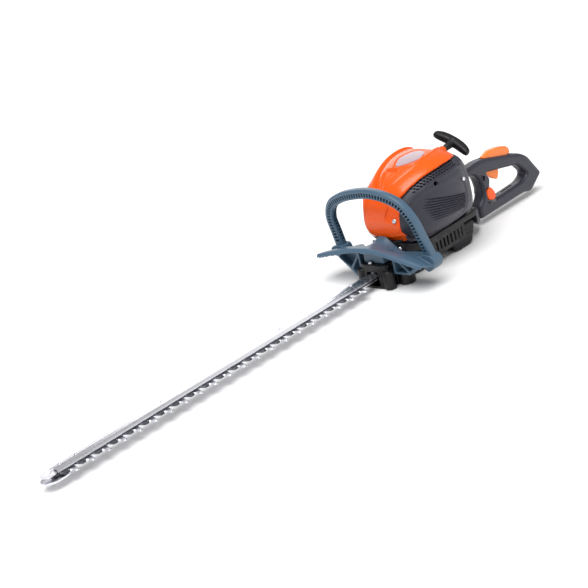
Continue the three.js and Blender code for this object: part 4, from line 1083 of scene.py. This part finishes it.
def build_gear_case():
    case = node_copy("gear_case", "gear_case_casting")
    bosses = []
    for x, y, radius, top in ((-37, -31, 11, 36), (-4, -44, 16, 33), (-37, 31, 11, 36), (-4, 44, 16, 33)):
        pairs = [(radius, 1.2), (radius, top - 2), (radius - 2, top), (4, top), (4, top + 2)]
        bosses.append(turned("boss", pairs, (x, y, 0), Z, 32))
    carve(case, *bosses, how="UNION")
    moulded(case, 0.9, 3)
    place(keep_largest(case), "gear_case", angle=60)
    plate = node_copy("gear_case_base", "gear_case_plate")
    soften(plate, 0.8, 3, 40)
    place(plate, "gear_case_base", angle=35)

    low, high = node_box("bar_screw")
    foot, top = low[2], high[2]
    at = (*((low + high) / 2)[:2], 0)
    section = [(2.5, foot), (2.5, 46.3), (4.3, 46.3), (4.5, 46.9), (4.5, 49), (4, 49.8), (2.6, top)]
    head = turned("bar_screw_head", section, at, Z, 36)
    carve(head, turned("socket", [(2.1, top - 2.2), (2.1, top + 3)], at, Z, 6))
    place(head, "bar_screw", angle=32)
    for k, (x, y) in enumerate([(-38, -25), (-38, 25), (22, -38), (22, 38), (76, -18), (76, 18)]):
        screw(f"plate_screw_{k + 1}", (x, y, 0.4), Z, 1.8, 1.0, long=0.3)


# ---- cutter -------------------------------------------------------------------------------------

PITCH, TEETH, STROKE = 35, 21, 17.5
FIRST_TOOTH_X = -95
LAST_TOOTH_X = FIRST_TOOTH_X - PITCH * (TEETH - 1)
SPINE_FRONT_Y, BACK_Y = -10, 13
ROOT_HALF = 9
EYE_X = -34.25  # where the lower blade takes its yoke at rest
BOLT_Y, BOLT_R = 7.2, 2.5
BOLT_XS = [-97, -285, -575, LAST_TOOTH_X + 27, LAST_TOOTH_X - 8]


def tooth_outline(x, root, tip, tip_y):
    """A tooth from above, with half widths at its root and its tip."""
    half = [(root, SPINE_FRONT_Y + 1.5), (root, SPINE_FRONT_Y - 0.4), (tip, tip_y + 2.0), (tip - 1.4, tip_y)]
    return [(x - a, y) for a, y in half] + [(x + a, y) for a, y in reversed(half)]


def blade(name, node, shift, tip, tip_y, travel):
    """One blade: a slotted spine with teeth whose flanks are ground down to an edge."""
    low, high = node_box(node)
    z0, z1 = low[2], high[2]
    land, bevel = 0.7, sizes().tooth_bevel / MM
    rear, end = high[0], LAST_TOOTH_X - 17 + shift
    outline = [(rear, BACK_Y), (end + 10, BACK_Y), (end, BACK_Y - 8), (end, SPINE_FRONT_Y),
               (rear, SPINE_FRONT_Y)]
    spine = prism(name, rounded(outline, 1.5, 3), "xy", z0, z1)
    teeth = []
    for k in range(TEETH):
        x = FIRST_TOOTH_X + shift - k * PITCH
        wide = tooth_outline(x, ROOT_HALF, tip, tip_y)
        narrow = tooth_outline(x, ROOT_HALF - bevel, max(1.6, tip - bevel), tip_y + bevel * 0.8)
        levels = [(wide, z0), (wide, z0 + land), (narrow, z1)]
        teeth.append(loft("tooth", [[(a, b, z) for a, b in ring] for ring, z in levels]))
    carve(spine, gathered("teeth", teeth), how="UNION")
    slots = []
    reach = BOLT_R + 0.7
    for x in BOLT_XS:
        a, b = x - reach + min(0, -travel * STROKE), x + reach + max(0, -travel * STROKE)
        outline = rounded(rectangle(a, BOLT_Y - reach, b, BOLT_Y + reach), reach * 0.9, 6)
        slots.append(prism("slot", outline, "xy", z0 - 1, z1 + 1))
    eye = EYE_X + shift
    slots.append(lens("eye", (eye, 0, (z0 + z1) / 2), Z, 5.8, 4))
    slots.append(block("neck", (eye, -2.8, z0 - 1), (eye + 20, 2.8, z1 + 1)))
    carve(spine, *slots)
    return place(spine, node, angle=12)


def build_cutter():
    blade("upper_blade_teeth", "cutter_blade_upper", -STROKE, 5.5, -23, 1)
    blade("lower_blade_teeth", "cutter_blade_lower", 0, 4, -28, -1)
    for node, name, width, segments, edges, angle in (
        ("connecting_yoke_upper", "yoke_upper", 0.4, 2, 40, 35),
        ("connecting_yoke_lower", "yoke_lower", 0.4, 2, 40, 35),
        ("guide_bar", "guide_bar_sheet", 0.45, 2, 25, 20),
        ("tip_guard", "tip_guard_plate", 0.8, 3, 40, 35),
    ):
        place(soften(node_copy(node, name), width, segments, edges), node, angle=angle)
    for k, x in enumerate(BOLT_XS):
        node = f"bar_bolt_{k + 1}"
        low, high = node_box(node)
        z0, z1 = low[2], high[2]
        under, head = z0 + 4, z1 - 4
        section = [(2.1, z0), (2.5, z0 + 0.4), (2.5, head), (4.0, head), (4.2, head + 0.3), (4.2, head + 1.6),
                   (3.8, head + 2), (2.5, head + 2.2), (2.4, z1 - 0.4), (2.0, z1)]
        bolt = turned(f"bar_bolt_turned_{k + 1}", section, (x, BOLT_Y, 0), Z, 36)
        section = [(3.9, z0 + 0.8), (4.4, z0 + 1.2), (4.4, under - 0.3), (4.1, under)]
        nut = turned("nut", section, (x, BOLT_Y, 0), Z, 6)
        place(carve(bolt, nut, how="UNION"), node, angle=30)


def build_fasteners():
    screw("nose_screw_head", (4.6, -35.6, 115.4), (-0.86, -0.22, 0.46), 4.5, 3, "nose_screw", 3)
    for node in ("guard_screw_right", "guard_screw_left"):
        low, high = node_box(node)
        middle = (low + high) / 2
        screw(node + "_head", (high[0], middle[1], middle[2]), (-1, 0, 0), 4.4, 3, node, 0.0)
    screw("cover_screw_left", (146, -92.6, 146), (0, -1, 0.12), 3.6, 1.6, long=3)
    screw("cover_screw_right", (146, 75.4, 146), (0, 1, 0.12), 3.6, 1.6, long=3)


def finish_frame():
    """Gives every node that still shows its finish."""
    for node, piece in frame["nodes"].items():
        if not piece.hide_render:
            piece.data.materials.clear()
            piece.data.materials.append(finish(NODE_SLOT[node]))


# ---- stage --------------------------------------------------------------------------------------


WORLD_STRENGTH = 0.42
SUN_POWER, SUN_SPREAD, SUN_HEADING = 3.1, 50, (0.34, 0.26, -1)
CAMERA_AT, CAMERA_TARGET = Vector((-2.4025, -2.4996, 1.2889)), Vector((-0.2285, 0.0147, 0.0695))
CAMERA_LENS, CAMERA_SENSOR, CAMERA_TILT = 122.45, 36, -14.312


def add_light(name, kind, power):
    """A new lamp and its light."""
    light = bpy.data.lights.new(name, kind)
    light.energy = power
    lamp = bpy.data.objects.new(name, light)
    bpy.context.scene.collection.objects.link(lamp)
    return lamp, light


def area_light(name, at, target, size, power):
    lamp, light = add_light(name, "AREA", power)
    light.shape, light.size = "SQUARE", size
    lamp.location = at
    lamp.rotation_euler = (Vector(target) - Vector(at)).to_track_quat("-Z", "Y").to_euler()


def build_stage():
    half = sizes().floor_size / 2 / MM
    floor = mesh_piece("floor", [(x, y, 0) for x, y in rectangle(-half, -half, half, half)], [(0, 1, 2, 3)])
    floor.location.z = -0.0005
    material = bpy.data.materials.new("floor")
    material.use_nodes = True
    shader = material.node_tree.nodes["Principled BSDF"]
    shader.inputs["Base Color"].default_value = (*colours().floor, 1)
    shader.inputs["Roughness"].default_value = 0.9
    shader.inputs["Specular IOR Level"].default_value = 0.1
    floor.data.materials.append(material)

    world = bpy.data.worlds.new("studio")
    world.use_nodes = True
    background = world.node_tree.nodes["Background"]
    background.inputs["Color"].default_value = (1, 1, 1, 1)
    background.inputs["Strength"].default_value = WORLD_STRENGTH
    bpy.context.scene.world = world
    lamp, light = add_light("soft_sun", "SUN", SUN_POWER)
    light.angle = math.radians(SUN_SPREAD)
    lamp.rotation_euler = Vector(SUN_HEADING).to_track_quat("-Z", "Y").to_euler()
    area_light("back", (2.6, 3.1, 1.9), (0.1, 0, 0.1), 2.6, 34)
    area_light("side", (2.4, -3.1, 0.9), (0.1, 0, 0.1), 2.6, 13)

    camera_data = bpy.data.cameras.new("camera")
    camera_data.lens, camera_data.sensor_width = CAMERA_LENS, CAMERA_SENSOR
    camera_data.clip_end = 100
    camera = bpy.data.objects.new("camera", camera_data)
    bpy.context.scene.collection.objects.link(camera)
    level = (CAMERA_TARGET - CAMERA_AT).to_track_quat("-Z", "Y").to_matrix()
    tilt = Matrix.Rotation(math.radians(CAMERA_TILT), 3, "Z")
    camera.matrix_world = Matrix.Translation(CAMERA_AT) @ (level @ tilt).to_4x4()
    bpy.context.scene.camera = camera
    bpy.context.scene.view_settings.view_transform = "Standard"


# ---- operators ----------------------------------------------------------------------------------


class Builder:
    bl_options = {"REGISTER"}

    def execute(self, context):
        type(self).make()
        return {"FINISHED"}


class TRIMMER_OT_stage(Builder, bpy.types.Operator):
    """Make the floor, the lights and the camera"""

    bl_idname = "trimmer.stage"
    bl_label = "Stage"
    make = staticmethod(build_stage)


class TRIMMER_OT_covers(Builder, bpy.types.Operator):
    """Make the orange top cover, its window and the two side covers"""

    bl_idname = "trimmer.covers"
    bl_label = "Covers"
    make = staticmethod(build_covers)


class TRIMMER_OT_front_handle(Builder, bpy.types.Operator):
    """Make the front loop handle with its rows of pockets"""

    bl_idname = "trimmer.front_handle"
    bl_label = "Front handle"
    make = staticmethod(build_front_handle)


class TRIMMER_OT_hand_guard(Builder, bpy.types.Operator):
    """Make the hand guard with its struts"""

    bl_idname = "trimmer.hand_guard"
    bl_label = "Hand guard"
    make = staticmethod(build_hand_guard)


class TRIMMER_OT_rear_handle(Builder, bpy.types.Operator):
    """Make the two halves of the rear handle"""

    bl_idname = "trimmer.rear_handle"
    bl_label = "Rear handle"
    make = staticmethod(build_rear_handle)


class TRIMMER_OT_controls(Builder, bpy.types.Operator):
    """Make the throttle trigger, its lock and the stop switch"""

    bl_idname = "trimmer.controls"
    bl_label = "Controls"
    make = staticmethod(build_controls)


class TRIMMER_OT_starter(Builder, bpy.types.Operator):
    """Make the pull starter's collar, grip and cord"""

    bl_idname = "trimmer.starter"
    bl_label = "Pull starter"
    make = staticmethod(build_starter)


class TRIMMER_OT_base(Builder, bpy.types.Operator):
    """Make the engine base, tank, cap, rear bracket, mounts and throttle cable"""

    bl_idname = "trimmer.base"
    bl_label = "Base and tank"
    make = staticmethod(build_base)


class TRIMMER_OT_fuel_controls(Builder, bpy.types.Operator):
    """Make the choke lever and the primer bulb"""

    bl_idname = "trimmer.fuel_controls"
    bl_label = "Choke and primer"
    make = staticmethod(build_fuel_controls)


class TRIMMER_OT_gear_case(Builder, bpy.types.Operator):
    """Make the gear case, its plate and their screws"""

    bl_idname = "trimmer.gear_case"
    bl_label = "Gear case"
    make = staticmethod(build_gear_case)


class TRIMMER_OT_cutter(Builder, bpy.types.Operator):
    """Make the blades, the guide bar, the tip guard and the bolts"""

    bl_idname = "trimmer.cutter"
    bl_label = "Cutter"
    make = staticmethod(build_cutter)


class TRIMMER_OT_fasteners(Builder, bpy.types.Operator):
    """Make the cover and guard screws"""

    bl_idname = "trimmer.fasteners"
    bl_label = "Fasteners"
    make = staticmethod(build_fasteners)


class TRIMMER_OT_finish_frame(Builder, bpy.types.Operator):
    """Give the engine's inner pieces their finishes"""

    bl_idname = "trimmer.finish_frame"
    bl_label = "Inner finishes"
    make = staticmethod(finish_frame)


OPERATORS = (
    TRIMMER_OT_stage,
    TRIMMER_OT_covers,
    TRIMMER_OT_front_handle,
    TRIMMER_OT_hand_guard,
    TRIMMER_OT_rear_handle,
    TRIMMER_OT_controls,
    TRIMMER_OT_starter,
    TRIMMER_OT_base,
    TRIMMER_OT_fuel_controls,
    TRIMMER_OT_gear_case,
    TRIMMER_OT_cutter,
    TRIMMER_OT_fasteners,
    TRIMMER_OT_finish_frame,
)


class TRIMMER_PT_panel(bpy.types.Panel):
    """Lists the sizes, the colours and the pieces"""

    bl_idname = "TRIMMER_PT_panel"
    bl_label = "Hedge Trimmer"
    bl_space_type = "VIEW_3D"
    bl_region_type = "UI"
    bl_category = "Hedge Trimmer"

    def draw(self, context):
        for group in (context.scene.trimmer_sizes, context.scene.trimmer_colours):
            box = self.layout.box()
            for name in group.__annotations__:
                box.prop(group, name)
        column = self.layout.column(align=True)
        for operator in OPERATORS:
            column.operator(operator.bl_idname)


CLASSES = (TrimmerSizes, TrimmerColours, *OPERATORS, TRIMMER_PT_panel)


def register():
    for cls in CLASSES:
        bpy.utils.register_class(cls)
    bpy.types.Scene.trimmer_sizes = bpy.props.PointerProperty(type=TrimmerSizes)
    bpy.types.Scene.trimmer_colours = bpy.props.PointerProperty(type=TrimmerColours)


def unregister():
    del bpy.types.Scene.trimmer_colours
    del bpy.types.Scene.trimmer_sizes
    for cls in reversed(CLASSES):
        bpy.utils.unregister_class(cls)


def main():
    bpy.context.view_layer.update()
    register()
    for operator in OPERATORS:
        getattr(bpy.ops.trimmer, operator.bl_idname.split(".")[1])()


if __name__ == "__main__":
    main()
